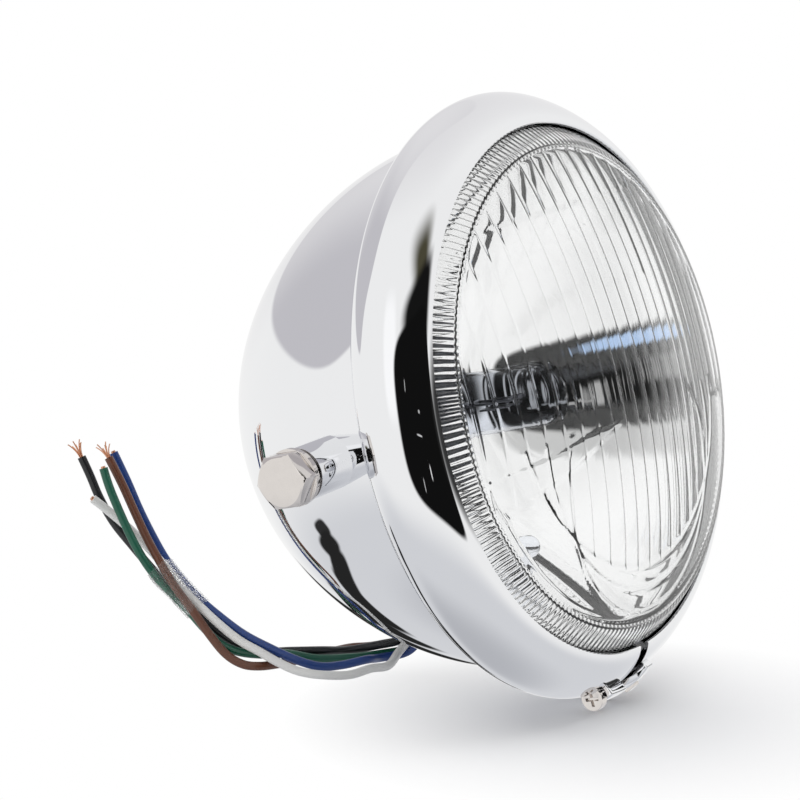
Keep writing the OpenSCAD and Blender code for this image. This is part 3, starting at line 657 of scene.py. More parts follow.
# %% Two rounded quarters
def quarter(r0, r1, s0, s1, power, rising):
    """A rounded quarter between [r0, s0] and [r1, s1]; a power of 2 is a plain ellipse."""
    out = []
    for i in range(41):
        a = math.pi / 2 * i / 40
        up, over = math.sin(a) ** (2 / power), math.cos(a) ** (2 / power)
        if rising:
            out.append([r0 + (r1 - r0) * up, s1 - (s1 - s0) * over])
        else:
            out.append([r1 + (r0 - r1) * over, s0 + (s1 - s0) * up])
    return out


def even(path, step, soften=0.0):
    """The same path in steps of equal length; soften rounds it over that many millimetres."""
    p = np.array(path, float)
    run = np.concatenate([[0], np.cumsum(np.linalg.norm(np.diff(p, axis=0), axis=1))])
    at = np.linspace(0, run[-1], max(int(run[-1] / step), 2) + 1)
    q = np.stack([np.interp(at, run, p[:, 0]), np.interp(at, run, p[:, 1])], axis=1)
    for _ in range(int(2 * (soften / step) ** 2)):
        q[1:-1] = 0.25 * q[:-2] + 0.5 * q[1:-1] + 0.25 * q[2:]
    return q


RING_R, LIP_R, CREST, LIP = 80.45, 70.05, 20.8, 34.0
SEAM_GAP, BACK_ROLL, FRONT_SLOPE = 0.45, 1.87, 1.43
back_roll = quarter(BOWL_R + SEAM_GAP, RING_R, HEM, CREST, BACK_ROLL, True)
front_slope = quarter(RING_R, LIP_R, CREST, LIP, FRONT_SLOPE, False)
crown = even(back_roll + front_slope[1:], 0.4, 1.1)
print("points on the ring's outline:", len(crown))

# %% [markdown]
# ## The trim ring: the split shell
# The ring is one turn that stops short of itself, so that the clamp screw can pull it tight. The
# lathe leaves that slit open at the bottom. The dark line in the seam behind the ring is painted
# shade: a black strip laid into the seam where there is only the seam's shadow. A texture could
# draw the line, but a strip that really lies there also holds up close and from behind.

# %% Turn the ring and its painted seam shade
RING_WALL, RING_SIDES, HALF_SLIT = 1.0, 360, 2.0
lip_roll = [[LIP_R - 0.32, LIP - 0.22], [LIP_R - 0.4, LIP - 0.6], [LIP_R - 0.3, LIP - 1.0]]
under = side_step(crown, RING_WALL)[::-1]
ring = lathe("ring_shell", list(crown) + lip_roll + list(under), RING_SIDES, gap=HALF_SLIT)
place(ring, "chrome", "trim_ring")
# The black strip in the seam is painted shade, a dark band that stands for the seam's shadow.
seam_shade_strip = [[BOWL_R + 0.02, HEM + 0.4], [BOWL_R + 0.5, HEM + 0.4], [BOWL_R + 1.2, HEM + 1.3],
         [BOWL_R + 0.02, HEM + 2]]
place(lathe("ring_strip", seam_shade_strip, BOWL_SIDES), "seal_rubber")
print("ring faces:", len(ring.data.polygons))

# %% [markdown]
# ## The clamp pads
# Beside the slit the ring carries two thick pads for the screw. They follow the ring's roll, so a
# plain block would either sink in or stand off. Each pad takes the stretch of the ring's own
# outline that it covers, thickens it, and carries it sideways in a few steps, each laid against
# the round of the ring. A bevel breaks its edges.


# %% Shape the clamp pads
PAD_STEPS, SUNK_IN, PAD_EDGE = 8, 0.5, 0.5


def clamp_pad(name, x0, x1, s0, s1, rise):
    """A thick pad on the ring from x0 to x1 and s0 to s1, with straight ends."""
    keep = crown[(crown[:, 1] > s0) & (crown[:, 1] < s1)]
    section = list(side_step(keep, -rise)) + list(side_step(keep, SUNK_IN)[::-1])
    points, faces = [], []
    count = len(section)
    for i in range(PAD_STEPS + 1):
        x = x0 + (x1 - x0) * i / PAD_STEPS
        points += [(x, -s, -math.sqrt(r * r - x * x)) for r, s in section]
    for i in range(PAD_STEPS):
        for k in range(count):
            m = (k + 1) % count
            faces.append((i * count + k, i * count + m, (i + 1) * count + m, (i + 1) * count + k))
    faces += [tuple(range(count)), tuple(PAD_STEPS * count + k for k in range(count))]
    pad = solid(name, points, faces)
    bevel = pad.modifiers.new("round", "BEVEL")
    bevel.width = PAD_EDGE * MM
    bevel.segments = 3
    bevel.limit_method = "ANGLE"
    bevel.angle_limit = math.radians(40)
    return place(baked(pad, 50), "chrome")


wide_pad = clamp_pad("clamp_pad_left", -9.8, -2.0, CREST - 2.6, CREST + 5.0, 2.6)
narrow_pad = clamp_pad("clamp_pad_right", 2.0, 5.2, CREST - 2.6, CREST + 10.0, 2.2)
print("pad faces:", len(wide_pad.data.polygons), len(narrow_pad.data.polygons))

# %% [markdown]
# ## The lens: how the glass is laid out
# The glass is smooth outside. Inside, a ring of fine ribs stands on the leaning wall, and the
# domed face carries upright flutes that spread the beam. Near the top a cross line runs over it,
# with deeper flutes above. A wedge slants in from the left, and at the foot lie plain crescents in
# steps.
#
# A bump map would be quick, but it only turns the shading. Through glass the eye reads how far the
# rays are bent, so the relief has to be real. It is written as a height that is added to the inner
# dome at each point [x, z] of the face, from lines that were measured on the photograph and are
# given here in millimetres.

# %% Where the lines on the face run
FACE_R = 62.0
FLUTE_LEFT, FLUTE_RIGHT, MIDDLE_LINE = 6.62, 5.83, -13.3
CROWN_LINE = 47.3
BLOCK_FOOT, BLOCK_LEFT, BLOCK_RIGHT = 25.2, 1.5, 21
WEDGE_TIP = -9.5
WEDGE_TOP = [[-62, -12.6], [-57.3, -12.2], [-39, -11.3], [-24, -9.3], [-9.5, -8.6]]
WEDGE_LOW = [[-62, -23], [-54.8, -21.3], [-31.8, -16], [-9.5, -8.6]]
FOOT_TOP = 13.2
CRESCENTS = [[0, 48.0], [13.5, 40.3], [25, 35.3]]
LAST_STEP_R, LAST_STEP_END = 60.4, 6
print("flutes across the face:", round(2 * FACE_R / (FLUTE_LEFT + FLUTE_RIGHT) * 2))

# %% [markdown]
# Each form on the face is a mask that is 0 outside it and 1 inside, with a soft edge a fraction of
# a millimetre wide. Masks multiply to cut one form with another, as the wedge is cut by its two
# slanting lines. Heights then add up, and a thin bead along each crescent gives it the fine dark
# line that a moulded step has.


# %% The relief of the face
STEP_SOFT, BEAD_HALF = 0.7, 0.55


def step_up(x, edge, soft=STEP_SOFT):
    """0 before the edge, 1 after it, with a smooth rise between."""
    t = np.clip((x - edge) / soft + 0.5, 0, 1)
    return t * t * (3 - 2 * t)


def relief(x, z):
    """How much thinner the glass is at a point of the face, and how strongly it is fluted there."""
    r = np.hypot(x, z)
    top_line, low_line = np.interp(x, *zip(*WEDGE_TOP)), np.interp(x, *zip(*WEDGE_LOW))
    wedge = step_up(-z, -top_line) * step_up(z, low_line) * (1 - step_up(x, WEDGE_TIP))
    above = step_up(z, CROWN_LINE)
    block = step_up(z, BLOCK_FOOT) * step_up(x, BLOCK_LEFT) * (1 - step_up(x, BLOCK_RIGHT)) * (1 - above)
    arcs = [np.hypot(x, z + drop) - radius for drop, radius in CRESCENTS]
    foot = step_up(-z, np.where(x < 0, -low_line, FOOT_TOP)) * step_up(arcs[0], 0)
    steps = step_up(arcs[1], 0) + step_up(arcs[2], 0)
    steps = steps + step_up(r, LAST_STEP_R) * (1 - step_up(x, LAST_STEP_END))
    beads = sum(np.exp(-(arc / BEAD_HALF) ** 2) for arc in arcs) * step_up(-z, 8)
    height = (0.22 * wedge + 0.18 * above + 0.12 * block) * (1 - foot)
    height = height + (0.20 + 0.16 * steps) * foot + 0.28 * beads
    fluting = (1 - foot) * (1 + 0.9 * above) * (1 - 0.45 * step_up(x, 25, 40))
    return height, fluting


print("height at the wedge:", round(float(relief(-30, -13)[0]), 2), "mm")

# %% [markdown]
# ## The lens: flutes and ribs as a node tree
# Flutes and ribs repeat by rule, so a node tree makes them. It reads where a point lies and moves
# it inwards: by an arch between two flute lines with a small ridge on each line, and by a wave
# round the wall for the ribs. Two layers of numbers on the points, "flute" and "rib", say how much
# of each a point takes, so the same tree leaves the outside of the glass alone. The flutes left of
# the middle line are a little wider than those right of it, as on the real glass.


# %% Start the tree of the glass
pattern, given = tree("lens_pattern", Left_Width=0.0066, Right_Width=0.0058, Middle_Line=-0.0133,
                      Flute_Depth=0.0001, Ridge_Width=0.0006, Ridge_Height=0.0001, Rib_Count=210,
                      Rib_Depth=0.0006, Glass=MATERIALS["lens_glass"])
sizes = given.outputs


def calc(kind, *wires):
    """A Math node in the tree of the glass."""
    return add(pattern, "ShaderNodeMath", *wires, operation=kind)


def layer(name):
    """The named number that each point of the glass carries."""
    node = add(pattern, "GeometryNodeInputNamedAttribute")
    node.node.inputs["Name"].default_value = name
    return node


print("inputs:", len(sizes) - 1)

# %% The flutes
spread = add(pattern, "ShaderNodeSeparateXYZ", add(pattern, "GeometryNodeInputPosition")).node.outputs
from_middle = calc("SUBTRACT", spread[0], sizes["Middle Line"])
on_right = calc("GREATER_THAN", from_middle, 0.0)
on_left = calc("SUBTRACT", 1.0, on_right)
width = calc("ADD", calc("MULTIPLY", on_left, sizes["Left Width"]),
             calc("MULTIPLY", on_right, sizes["Right Width"]))
part_way = calc("FRACT", calc("ADD", calc("DIVIDE", from_middle, width), 100.0))
other_way = calc("SUBTRACT", 1.0, part_way)
hump = calc("MULTIPLY", calc("MULTIPLY", part_way, other_way), 4.0)
arch = calc("MULTIPLY", hump, sizes["Flute Depth"])
to_line = calc("MULTIPLY", calc("MINIMUM", part_way, other_way), width)
rise = calc("MAXIMUM", calc("SUBTRACT", 1.0, calc("DIVIDE", to_line, sizes["Ridge Width"])), 0.0)
ridge = calc("MULTIPLY", calc("MULTIPLY", rise, calc("SUBTRACT", 2.0, rise)), sizes["Ridge Height"])
flute = calc("MULTIPLY", calc("SUBTRACT", arch, ridge), layer("flute"))
print("nodes so far:", len(pattern.nodes))

# %% The ribs
angle = calc("ARCTAN2", spread[0], calc("MULTIPLY", spread[2], -1.0))
wave = calc("COSINE", calc("MULTIPLY", angle, sizes["Rib Count"]))
depth_here = calc("MULTIPLY", sizes["Rib Depth"], layer("rib"))
rib = calc("MULTIPLY", calc("MULTIPLY_ADD", wave, -0.5, 0.5), depth_here)
print("nodes so far:", len(pattern.nodes))

# %% Move the points and close the tree
inward = add(pattern, "ShaderNodeCombineXYZ",
             calc("MULTIPLY", calc("SINE", angle), calc("MULTIPLY", rib, -1.0)),
             calc("MULTIPLY", flute, -1.0), calc("MULTIPLY", calc("COSINE", angle), rib))
moved = add(pattern, "GeometryNodeSetPosition", given.outputs["Geometry"])
pattern.links.new(inward, moved.node.inputs["Offset"])
whole = add(pattern, "GeometryNodeRealizeInstances", moved)
coated = add(pattern, "GeometryNodeSetMaterial", whole)
pattern.links.new(given.outputs["Glass"], coated.node.inputs["Material"])
pattern.links.new(coated, pattern.nodes.new("NodeGroupOutput").inputs[0])
print("nodes in the lens pattern:", len(pattern.nodes))

# %% [markdown]
# ## The lens: the grid of the face
# A plain grid would meet the thin flute lines anywhere and turn them into saw teeth. So its
# columns are placed by the flutes: many close to each line, where the glass turns sharply, and few
# between. Each column runs from edge to edge of the round face. The relief fades out over the last
# millimetre, so that the face meets its rim on a clean circle.

# %% Lay the grid of the face
DOME_R, DOME_TOP, GLASS_THICK = 178.2, 50.0, 3
inner_ball = DOME_R - GLASS_THICK
centre = DOME_TOP - DOME_R
ROWS, FADE = 190, 0.8
near_line = [-2.3, -1.4, -0.85, -0.6, -0.4, -0.2, 0, 0.2, 0.4, 0.6, 0.85, 1.4, 2.3]
columns = [MIDDLE_LINE + FLUTE_LEFT * k + b for k in range(-8, 0) for b in [-3.2] + near_line]
columns += [MIDDLE_LINE + FLUTE_RIGHT * k + b for k in range(14) for b in [-2.9] + near_line]
columns = [-FACE_R] + [x for x in columns if abs(x) < FACE_R - 0.1] + [FACE_R]
points, faces, fluted, ribbed = [], [], [], []
half = np.sqrt(np.maximum(FACE_R ** 2 - np.array(columns) ** 2, 0))
for x, h in zip(columns, half):
    z = h * np.linspace(-1, 1, ROWS + 1)
    fade = np.clip((FACE_R - np.hypot(x, z)) / FADE, 0, 1)
    height, fluting = relief(x, z)
    s = centre + np.sqrt(inner_ball ** 2 - x * x - z * z) + height * fade
    points += [(x, -a, b) for a, b in zip(s, z)]
    fluted += list(fluting * fade)
for i in range(len(columns) - 1):
    for j in range(ROWS):
        a = i * (ROWS + 1) + j
        faces.append((a, a + 1, a + ROWS + 2, a + ROWS + 1))
edge = [i * (ROWS + 1) for i in range(len(columns))]
edge += [i * (ROWS + 1) + ROWS for i in range(len(columns) - 2, 0, -1)]
print("columns:", len(columns), "points on the face:", len(points))

# %% [markdown]
# ## The lens: wall, flange and outer dome
# The rest of the glass is an outline turned about the axis. It starts at the edge of the face,
# runs back along the inner wall, round the flange that the ring grips, and over the outside to the
# crown of the dome. The third number of each point is its share of the ribs: full on the wall, a
# narrow beaded band beside the face, and none outside. Four steps to each rib are enough for
# a round look in glass this small.

# %% Turn the wall and the dome
RIBS, PER_RIB = 214, 4
around = RIBS * PER_RIB
dome_edge = [[DOME_R * math.sin(a), centre + DOME_R * math.cos(a)]
             for a in np.linspace(math.asin(63.25 / DOME_R), 0, 14)]
face_edge = centre + math.sqrt(inner_ball ** 2 - FACE_R ** 2)
beads = [(FACE_R, face_edge, 0), (62.25, 35.5, 0.9), (62.7, 35.3, 0.9), (62.95, 35.45, 0.1)]
ribbed_wall = [(63.2, 35.5, 0.4), (63.6, 35.3, 1.0), (65.6, 33.2, 1.0), (67.7, 31.0, 0.9), (67.9, 30.7, 0)]
flange = [(67.9, 27.8, 0), (73.05, 27.8, 0), (73.05, 30.4, 0), (70.7, 32.8, 0), (69.3, 32.8, 0)]
outer_wall = [(69.1, 32.95, 0), (67.0, 35.2, 0), (65.05, 37.28, 0), (64.7, 37.6, 0), (64.2, 37.95, 0),
              (63.6, 38.25, 0)]
profile = beads + ribbed_wall + flange + outer_wall + [(r, s, 0) for r, s in dome_edge]
base = len(points)
for r, s, share in profile:
    for k in range(around):
        a = 2 * math.pi * k / around
        points.append((r * math.sin(a), -s, -r * math.cos(a)))
        ribbed.append(share)
for i in range(len(profile) - 1):
    for k in range(around):
        n = (k + 1) % around
        a = base + i * around
        faces.append((a + k, a + n, a + around + n, a + around + k))
print("points of the glass:", len(points))

# %% [markdown]
# ## The lens: one closed solid
# Glass that isn't closed bends light wrongly, because a ray that enters never leaves. Face and
# wall end on the same circle, but with different numbers of points. So the two loops are sorted by
# angle and zipped together with triangles, always taking the next point of whichever loop is
# behind. Then the node tree presses in the flutes and the ribs.


# %% Zip the face to the wall
def zip_circles(first, second):
    """Triangles between two loops of points on the same circle, by angle."""
    def turned(loop):
        angle = [math.atan2(points[v][0], -points[v][2]) % (2 * math.pi) for v in loop]
        order = sorted(range(len(loop)), key=lambda k: angle[k])
        return [loop[k] for k in order], [angle[k] for k in order]
    (a, at), (b, bt) = turned(first), turned(second)
    at, bt = at + [at[0] + 2 * math.pi], bt + [bt[0] + 2 * math.pi]
    i = j = 0
    out = []
    while i < len(a) or j < len(b):
        if j >= len(b) or (i < len(a) and at[i + 1] <= bt[j + 1]):
            out.append((a[i], a[(i + 1) % len(a)], b[j % len(b)]))
            i += 1
        else:
            out.append((a[i % len(a)], b[(j + 1) % len(b)], b[j]))
            j += 1
    return out


# %% Finish the lens
faces += zip_circles(edge, [base + k for k in range(around)])
fluted += [0.0] * (len(points) - len(fluted))
ribbed = [0.0] * (len(points) - len(ribbed)) + ribbed
lens = solid("lens_shell", points, faces, sharp=60, layers={"flute": fluted, "rib": ribbed})
grown(lens, pattern, Left_Width=FLUTE_LEFT * MM, Right_Width=FLUTE_RIGHT * MM,
      Middle_Line=MIDDLE_LINE * MM, Flute_Depth=0.00007, Ridge_Width=0.00055, Ridge_Height=0.00005,
      Rib_Count=RIBS, Rib_Depth=0.0006)
place(lens, "lens_glass", "lens")
print("lens faces:", len(lens.data.polygons))

# %% [markdown]
# ## The reflector
# Behind the glass lies a mirror dish, a paraboloid with the filament near its focus. It could be
# left out, since the glass hides much of it, but nearly all that the glass shows is this mirror.
# It is turned from its formula, with a collar for the bulb at its back and a lip that the glass
# sits on, and then drilled for the parking bulb below.

# %% Turn the reflector
FOCAL, DISH_R, HOLE_R, DISH_WALL = 24.0, 66.05, 19.2, 0.8
RIM_R, RIM_BACK, COLLAR_OUT, COLLAR_DEPTH = 73.0, 26.0, 4, 4
DISH_BACK = RIM_BACK - DISH_R ** 2 / (4 * FOCAL)
dish = [[r, DISH_BACK + r * r / (4 * FOCAL)] for r in np.linspace(HOLE_R, DISH_R, 60)]
back = side_step(dish, -DISH_WALL)
collar = dish[0][1] - COLLAR_DEPTH
front = [[DISH_R, RIM_BACK + DISH_WALL], [RIM_R, RIM_BACK + DISH_WALL], [RIM_R, RIM_BACK],
         [DISH_R + 1.2, RIM_BACK]]
foot = [[HOLE_R + DISH_WALL, dish[0][1] - 0.6], [HOLE_R + DISH_WALL, collar + DISH_WALL],
        [HOLE_R + COLLAR_OUT, collar + DISH_WALL], [HOLE_R + COLLAR_OUT, collar], [HOLE_R, collar]]
reflector = lathe("reflector_dish", dish + front + list(back[::-1]) + foot, BOWL_SIDES)
print("dish depth:", round(RIM_BACK - dish[0][1], 1), "mm")

# %% Drill for the parking bulb
PARK_R, PARK_HOLE_R = 40.0, 6.2
PARK_S = DISH_BACK + PARK_R ** 2 / (4 * FOCAL)
cut(reflector, rod((0, -PARK_S - 15, -PARK_R), (0, -PARK_S + 15, -PARK_R), PARK_HOLE_R))
place(reflector, "mirror_dish", "reflector")
print("reflector faces:", len(reflector.data.polygons))

# %% [markdown]
# ## Bolts, washers, spacers and the clamp screw
# These keep the CAD shapes, because they are already true. Only their edges are too sharp: a
# turned or plated edge is round by a tenth or two of a millimetre, and that narrow round is what
# catches the light. So each mesh is copied, its triangles are merged back into flat faces, and a
# bevel rounds every edge above a small angle.


# %% Soften a CAD piece
def softened(name, node, width, segments=2, sharp=24):
    """A CAD node's own mesh with its edges rounded."""
    work = bmesh.new()
    work.from_mesh(NODES[node].data)
    bmesh.ops.remove_doubles(work, verts=work.verts, dist=1e-6)
    bmesh.ops.dissolve_limit(work, angle_limit=math.radians(1), verts=work.verts, edges=work.edges)
    mesh = bpy.data.meshes.new(name)
    work.to_mesh(mesh)
    work.free()
    obj = bpy.data.objects.new(name, mesh)
    bpy.context.scene.collection.objects.link(obj)
    bevel = obj.modifiers.new("round", "BEVEL")
    bevel.width = width * MM
    bevel.segments = segments
    bevel.limit_method = "ANGLE"
    bevel.angle_limit = math.radians(22)
    return baked(obj, sharp)


# %% Dress the side bolts
for side in ("left", "right"):
    place(softened("side_bolt_" + side, "bolt_" + side, 0.22), "plated_steel", "bolt_" + side)
    place(softened("spring_washer_" + side, "lock_washer_" + side, 0.2), "plated_steel",
          "lock_washer_" + side, coat="spring_steel")
    place(softened("spacer_sleeve_" + side, "spacer_" + side, 0.25), "chrome", "spacer_" + side)
    print("dressed the", side, "bolt")

# %% Dress the clamp screw, its nut and the grommet
NUT_SHIFT = -4.6
place(softened("clamp_screw_body", "clamp_screw", 0.2), "plated_steel", "clamp_screw")
nut = softened("clamp_nut_body", "clamp_nut", 0.2)
nut.data.transform(Matrix.Translation((NUT_SHIFT * MM, 0, 0)))
place(nut, "plated_steel", "clamp_nut")
place(softened("grommet_body", "grommet", 0.4), "seal_rubber", "grommet")
print("nut moved by", NUT_SHIFT, "mm")

# %% [markdown]
# ## The parts inside
# Bulb, boot, plug, clip, seals and bosses sit behind glass or inside the bowl. They could be built
# again, but nobody would see the difference. They stay as the frame brings them, and only their
# materials are exchanged for those of this lamp.

# %% Give the inner parts their materials
KEPT = {
    "inner_steel": ["retaining_ring", "snap_wire", "bulb_base", "bulb_filaments", "bulb_clip",
                     "boss_left", "boss_right"],
    "bulb_envelope": ["bulb_glass", "park_bulb"],
    "seal_rubber": ["lens_seal", "dust_boot"],
    "plug_plastic": ["bulb_plug"],
    "dark_plastic": ["park_holder"],
}
for slot, names in KEPT.items():
    for name in names:
        NODES[name].data.materials.clear()
        NODES[name].data.materials.append(MATERIALS[slot])
print("CAD nodes shown as they are:", sum(len(v) for v in KEPT.values()))

# %% [markdown]
# ## The floor
# The lamp stands on white paper, which leans here as the lamp leaned in the photograph. A shadow
# catcher would do for the camera, but it leaves metal and glass without anything to mirror. So the
# floor is a real sheet with three faces. Near the point where the ring touches it, the camera sees
# paper with the lamp's shadow. Farther off it sees pure white, like the backdrop. Metal and glass
# see right through it, to the studio, which is painted to look like the floor and more.

# %% Lay the floor
UP = Vector((0.0643, -0.2224, 0.9728)).normalized()
FLOOR_LEVEL = -77.4
toward = -(AHEAD - AHEAD.dot(UP) * UP).normalized()
across = toward.cross(UP).normalized()
mid = UP * FLOOR_LEVEL
corners = [mid + 6000 * (a * toward + b * across) for a, b in ((-1, -1), (-1, 1), (1, 1), (1, -1))]
floor_mesh = bpy.data.meshes.new("floor")
floor_mesh.from_pydata([tuple(c * MM) for c in corners], [], [(0, 1, 2, 3)])
floor = bpy.data.objects.new("floor", floor_mesh)
bpy.context.scene.collection.objects.link(floor)
surface("floor_paper", (0.94, 0.945, 0.965), 0, 0.7, 0.005, 3)
paper = MATERIALS["floor_paper"].node_tree

# %% Mix what the floor shows
CONTACT, SHADOW_END, WHITE_FROM = Vector((-14, -28, -82)) * MM, 0.02, 0.085


def on_paper(kind, *wires, **settings):
    """Adds a shader node to the floor's material, with wires into its inputs in order."""
    node = paper.nodes.new(kind)
    for key, value in settings.items():
        setattr(node, key, value)
    for socket, wire in zip(node.inputs, wires):
        if isinstance(wire, bpy.types.NodeSocket):
            paper.links.new(wire, socket)
        elif wire is not None:
            socket.default_value = wire
    return node


path = paper.nodes.new("ShaderNodeLightPath").outputs
sheet = paper.nodes["Principled BSDF"].outputs[0]
place_on_floor = on_paper("ShaderNodeTexCoord").outputs["Object"]
far = on_paper("ShaderNodeVectorMath", place_on_floor, CONTACT, operation="DISTANCE").outputs["Value"]
whiten = on_paper("ShaderNodeMapRange", far, SHADOW_END, WHITE_FROM).outputs[0]
seen_far = on_paper("ShaderNodeMath", path["Is Camera Ray"], whiten, operation="MULTIPLY").outputs[0]
near_glow = on_paper("ShaderNodeEmission", (0.03, 0.03, 0.03, 1), path["Is Camera Ray"]).outputs[0]
lifted = on_paper("ShaderNodeAddShader", sheet, near_glow).outputs[0]
white_far = on_paper("ShaderNodeEmission", (1, 1, 1, 1), 1.0).outputs[0]
looked_at = on_paper("ShaderNodeMixShader", seen_far, lifted, white_far).outputs[0]
by_metal = on_paper("ShaderNodeMath", path["Is Glossy Ray"], path["Is Transmission Ray"],
                    operation="MAXIMUM").outputs[0]
clear = on_paper("ShaderNodeBsdfTransparent").outputs[0]
choose = on_paper("ShaderNodeMixShader", by_metal, looked_at, clear).outputs[0]
paper.links.new(choose, paper.nodes["Material Output"].inputs["Surface"])
floor_mesh.materials.append(MATERIALS["floor_paper"])
print("nodes in the paper:", len(paper.nodes))

# %% [markdown]
# ## The studio: tools
# Chrome has no look of its own: it shows the room. The room could be built from glowing planes,
# but each of them would also light the floor and cast shadows. Painted into the world, a panel is
# only a direction with a half width, a half height, an edge softness and a tone, and it costs
# nothing. A direction is written with its azimuth, where 0 points at the camera and 90 to the
# camera's right, and its height above the floor's plane, both in degrees.


# %% Tools for painting the world
world = bpy.data.worlds.new("studio")
bpy.context.scene.world = world
world.use_nodes = True
wn, wl = world.node_tree.nodes, world.node_tree.links
background = wn["Background"]
aim = wn.new("ShaderNodeTexCoord").outputs["Generated"]
TO_RIGHT = -across if across.dot(RIGHT) < 0 else across


def math_node(kind, a, b=None):
    node = wn.new("ShaderNodeMath")
    node.operation = kind
    for socket, value in zip(node.inputs, (a, b)):
        if value is None:
            continue
        if isinstance(value, (int, float)):
            socket.default_value = value
        else:
            wl.new(value, socket)
    return node.outputs[0]


def along(direction):
    node = wn.new("ShaderNodeVectorMath")
    node.operation = "DOT_PRODUCT"
    wl.new(aim, node.inputs[0])
    node.inputs[1].default_value = direction
    return node.outputs["Value"]


def fall(value, edge, soft):
    """1 below edge, 0 above it, with a soft change between."""
    node = wn.new("ShaderNodeMapRange")
    node.interpolation_type = "SMOOTHSTEP"
    wl.new(value, node.inputs["Value"])
    node.inputs["From Min"].default_value = edge - soft
    node.inputs["From Max"].default_value = edge + soft
    node.inputs["To Min"].default_value = 1
    node.inputs["To Max"].default_value = 0
    return node.outputs["Result"]


def shade(color, mask, tone):
    """Lays a tone over a colour where the mask is 1."""
    mix = wn.new("ShaderNodeMix")
    mix.data_type = "RGBA"
    wl.new(mask, mix.inputs["Factor"])
    if isinstance(color, tuple):
        mix.inputs["A"].default_value = color
    else:
        wl.new(color, mix.inputs["A"])
    mix.inputs["B"].default_value = tone
    return mix.outputs["Result"]


def panel(color, azimuth, elevation, width, height, soft, tone, power=3):
    """Lays one rounded panel over the studio colour made so far; sizes are in degrees."""
    a, e = math.radians(azimuth), math.radians(elevation)
    ahead = (math.cos(e) * math.cos(a) * toward + math.cos(e) * math.sin(a) * TO_RIGHT
             + math.sin(e) * UP).normalized()
    side = ahead.cross(UP).normalized()
    top = side.cross(ahead).normalized()
    depth = math_node("MAXIMUM", along(ahead), 0.05)
    u = math_node("DIVIDE", math_node("ABSOLUTE", math_node("DIVIDE", along(side), depth)),
                  math.tan(math.radians(width)))
    v = math_node("DIVIDE", math_node("ABSOLUTE", math_node("DIVIDE", along(top), depth)),
                  math.tan(math.radians(height)))
    far_out = math_node("ADD", math_node("POWER", u, float(power)), math_node("POWER", v, float(power)))
    mask = fall(math_node("POWER", far_out, 1 / power), 1, soft)
    mask = math_node("MULTIPLY", mask, math_node("GREATER_THAN", along(ahead), 0.06))
    return shade(color, mask, tone)


# %% [markdown]
# ## The studio: air, ground and panels
# First comes the open air, then the paler or darker ground below the horizon, then the spot
# straight down, where the lamp's own shadow lies. The panels are laid over these, one after the
# other, so a bright one can stand inside a dark one.


# %% One whole studio
def studio_with(open_air, ground, nadir, panels):
    """A studio: one tone above, one below the horizon, one straight down, and its panels."""
    height = along(UP)
    studio = shade(open_air, fall(height, -0.47, 0.16), ground)
    studio = shade(studio, fall(height, -0.88, 0.12), nadir)
    for azimuth, elevation, width, tall, soft, value, *power in panels:
        tone = value if isinstance(value, tuple) else (value, value, value, 1)
        studio = panel(studio, azimuth, elevation, width, tall, soft, tone, *power)
    return studio


# %% [markdown]
# ## The studio: what the metal sees
# Each row is one panel: azimuth, height, half width, half height, softness and tone, and for some
# rows how square its corners are. The first is the grey wall that shows on top of the bowl. The
# narrow dark ones below it are the wires' shadow line, which bends down the flank. The large black
# ones are the dark side of the room, seen in the trim ring, with a few thin glints inside.

# %% Panels for the metal
FOR_METAL = [
    (-130, 40, 44, 35, 0.03, (0.575, 0.565, 0.595, 1), 4),
    (-172, 46, 26, 42, 0.9, (0.80, 0.79, 0.80, 1)),
    (-8, 28, 7, 20, 0.3, 1.06),
    (-118.5, -34.5, 4, 2.2, 0.2, 0.03), (-123, -37.5, 6, 2.8, 0.2, 0.02),
    (-134, -40.5, 11, 2.7, 0.15, 0.02), (-150, -40, 10, 2.9, 0.15, 0.02), (-163, -34, 7, 4.2, 0.15, 0.02),
    (-173, -24, 5, 6, 0.15, 0.02),
    (46, 50, 10, 14, 0.6, (0.07, 0.065, 0.04, 1)),
    (40, 37, 23, 12, 0.25, 0.008),
    (29, 10, 31, 29, 0.05, 0.006, 4),
    (92, 8, 34, 14, 0.3, 0.04),
    (26, -4, 0.6, 2.2, 0.3, 0.8), (20, 6, 3.0, 0.3, 0.3, 0.6), (24, 13, 1.1, 0.5, 0.3, 0.5),
    (9, 20, 0.4, 1.8, 0.3, 0.45), (15, -10, 0.4, 2.2, 0.3, 0.5),
]
print("panels for the metal:", len(FOR_METAL))

# %% [markdown]
# ## The studio: what the glass sees
# The glass and the mirror behind it look at the same room, but turned over by the dish, and the
# photograph shows it brighter there. One set of panels can't serve both, so the glass gets its own:
# a dark band with a strip of blue daylight and some pale gaps. Which set is used is decided by the
# ray itself: Is Transmission Ray is 1 for a ray that has passed through glass.

# %% Panels for the glass
FOR_GLASS = [
    (28, 34, 31, 9, 0.3, 0.62),
    (30, 11, 30, 20, 0.08, 0.006, 5),
    (92, 8, 30, 12, 0.3, 0.03),
    (17, -4, 11, 2.4, 0.3, (0.50, 0.68, 0.98, 1)),
    (10, 8, 5, 5, 0.3, 0.40), (24, 16, 2, 5, 0.3, 0.5), (38, 12, 1.4, 7, 0.3, 0.45),
    (46, 7, 1.2, 8, 0.3, 0.6), (51, 9, 0.8, 9, 0.3, 0.5), (33, 19, 7, 0.7, 0.3, 0.4),
]
print("panels for the glass:", len(FOR_GLASS))

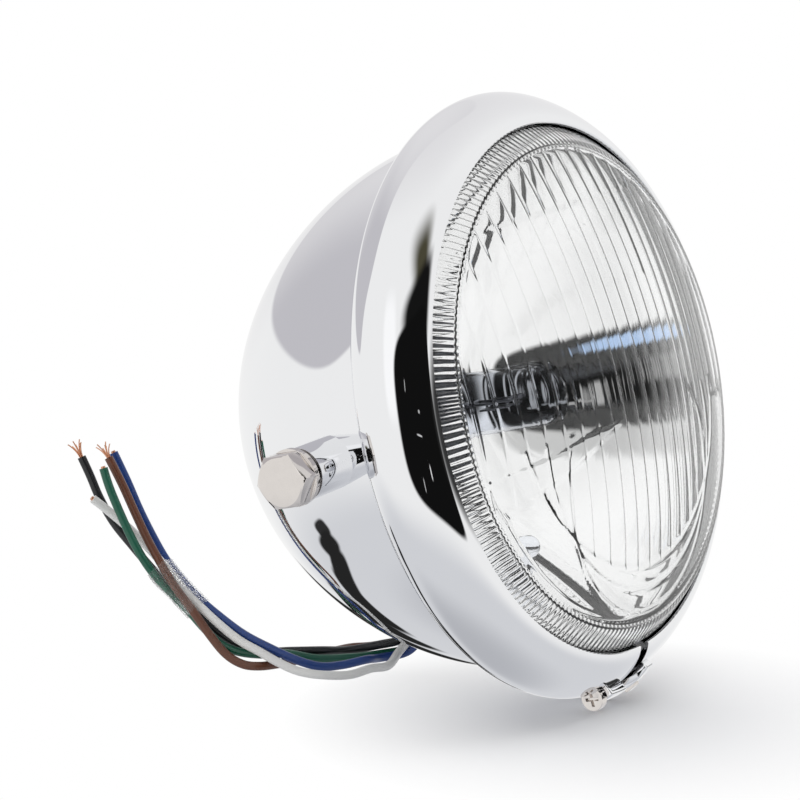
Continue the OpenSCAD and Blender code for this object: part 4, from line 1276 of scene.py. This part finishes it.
# %% Join the two studios under a white sky
for_metal = studio_with((0.935, 0.935, 0.93, 1), (0.69, 0.70, 0.725, 1), (0.50, 0.51, 0.54, 1), FOR_METAL)
for_glass = studio_with((1, 1, 1, 1), (0.96, 0.96, 0.96, 1), (0.90, 0.90, 0.90, 1), FOR_GLASS)
through_glass = wn.new("ShaderNodeLightPath").outputs["Is Transmission Ray"]
both = wn.new("ShaderNodeMix")
both.data_type = "RGBA"
wl.new(through_glass, both.inputs["Factor"])
wl.new(for_metal, both.inputs["A"])
wl.new(for_glass, both.inputs["B"])
studio = both.outputs["Result"]
white = wn.new("ShaderNodeMix")
white.data_type = "RGBA"
wl.new(wn.new("ShaderNodeLightPath").outputs["Is Camera Ray"], white.inputs["Factor"])
wl.new(studio, white.inputs["A"])
white.inputs["B"].default_value = (1, 1, 1, 1)
wl.new(white.outputs["Result"], background.inputs["Color"])
background.inputs["Strength"].default_value = 1.0
print("nodes in the world:", len(wn))

# %% [markdown]
# ## One soft lamp
# The world gives an even light, at which a colour renders as it is written. One wide area lamp
# from above is added, just enough to give the shadow a direction. Its own mirror image would be a hard
# square in the chrome, so it is hidden from glossy and transmitted rays.


# %% Hang the lamp
def soft_lamp(name, heading, distance, size, power):
    """An area lamp that looks at the lamp from a heading."""
    out = Vector(heading).normalized()
    spot = (out[0] * toward + out[1] * TO_RIGHT + out[2] * UP).normalized() * distance
    data = bpy.data.lights.new(name, "AREA")
    data.size = size
    data.energy = power
    lamp = bpy.data.objects.new(name, data)
    lamp.location = spot
    lamp.visible_glossy = False
    lamp.visible_transmission = False
    lamp.rotation_euler = (-spot).to_track_quat("-Z", "Y").to_euler()
    bpy.context.scene.collection.objects.link(lamp)
    return lamp


soft_lamp("top_lamp", (0.2, 0.1, 1.0), 1.1, 0.7, 3)
print("studio panels:", len(FOR_METAL), "for metal,", len(FOR_GLASS), "for glass")

# %% [markdown]
# ## Finish

# %% Finish
print("finished")
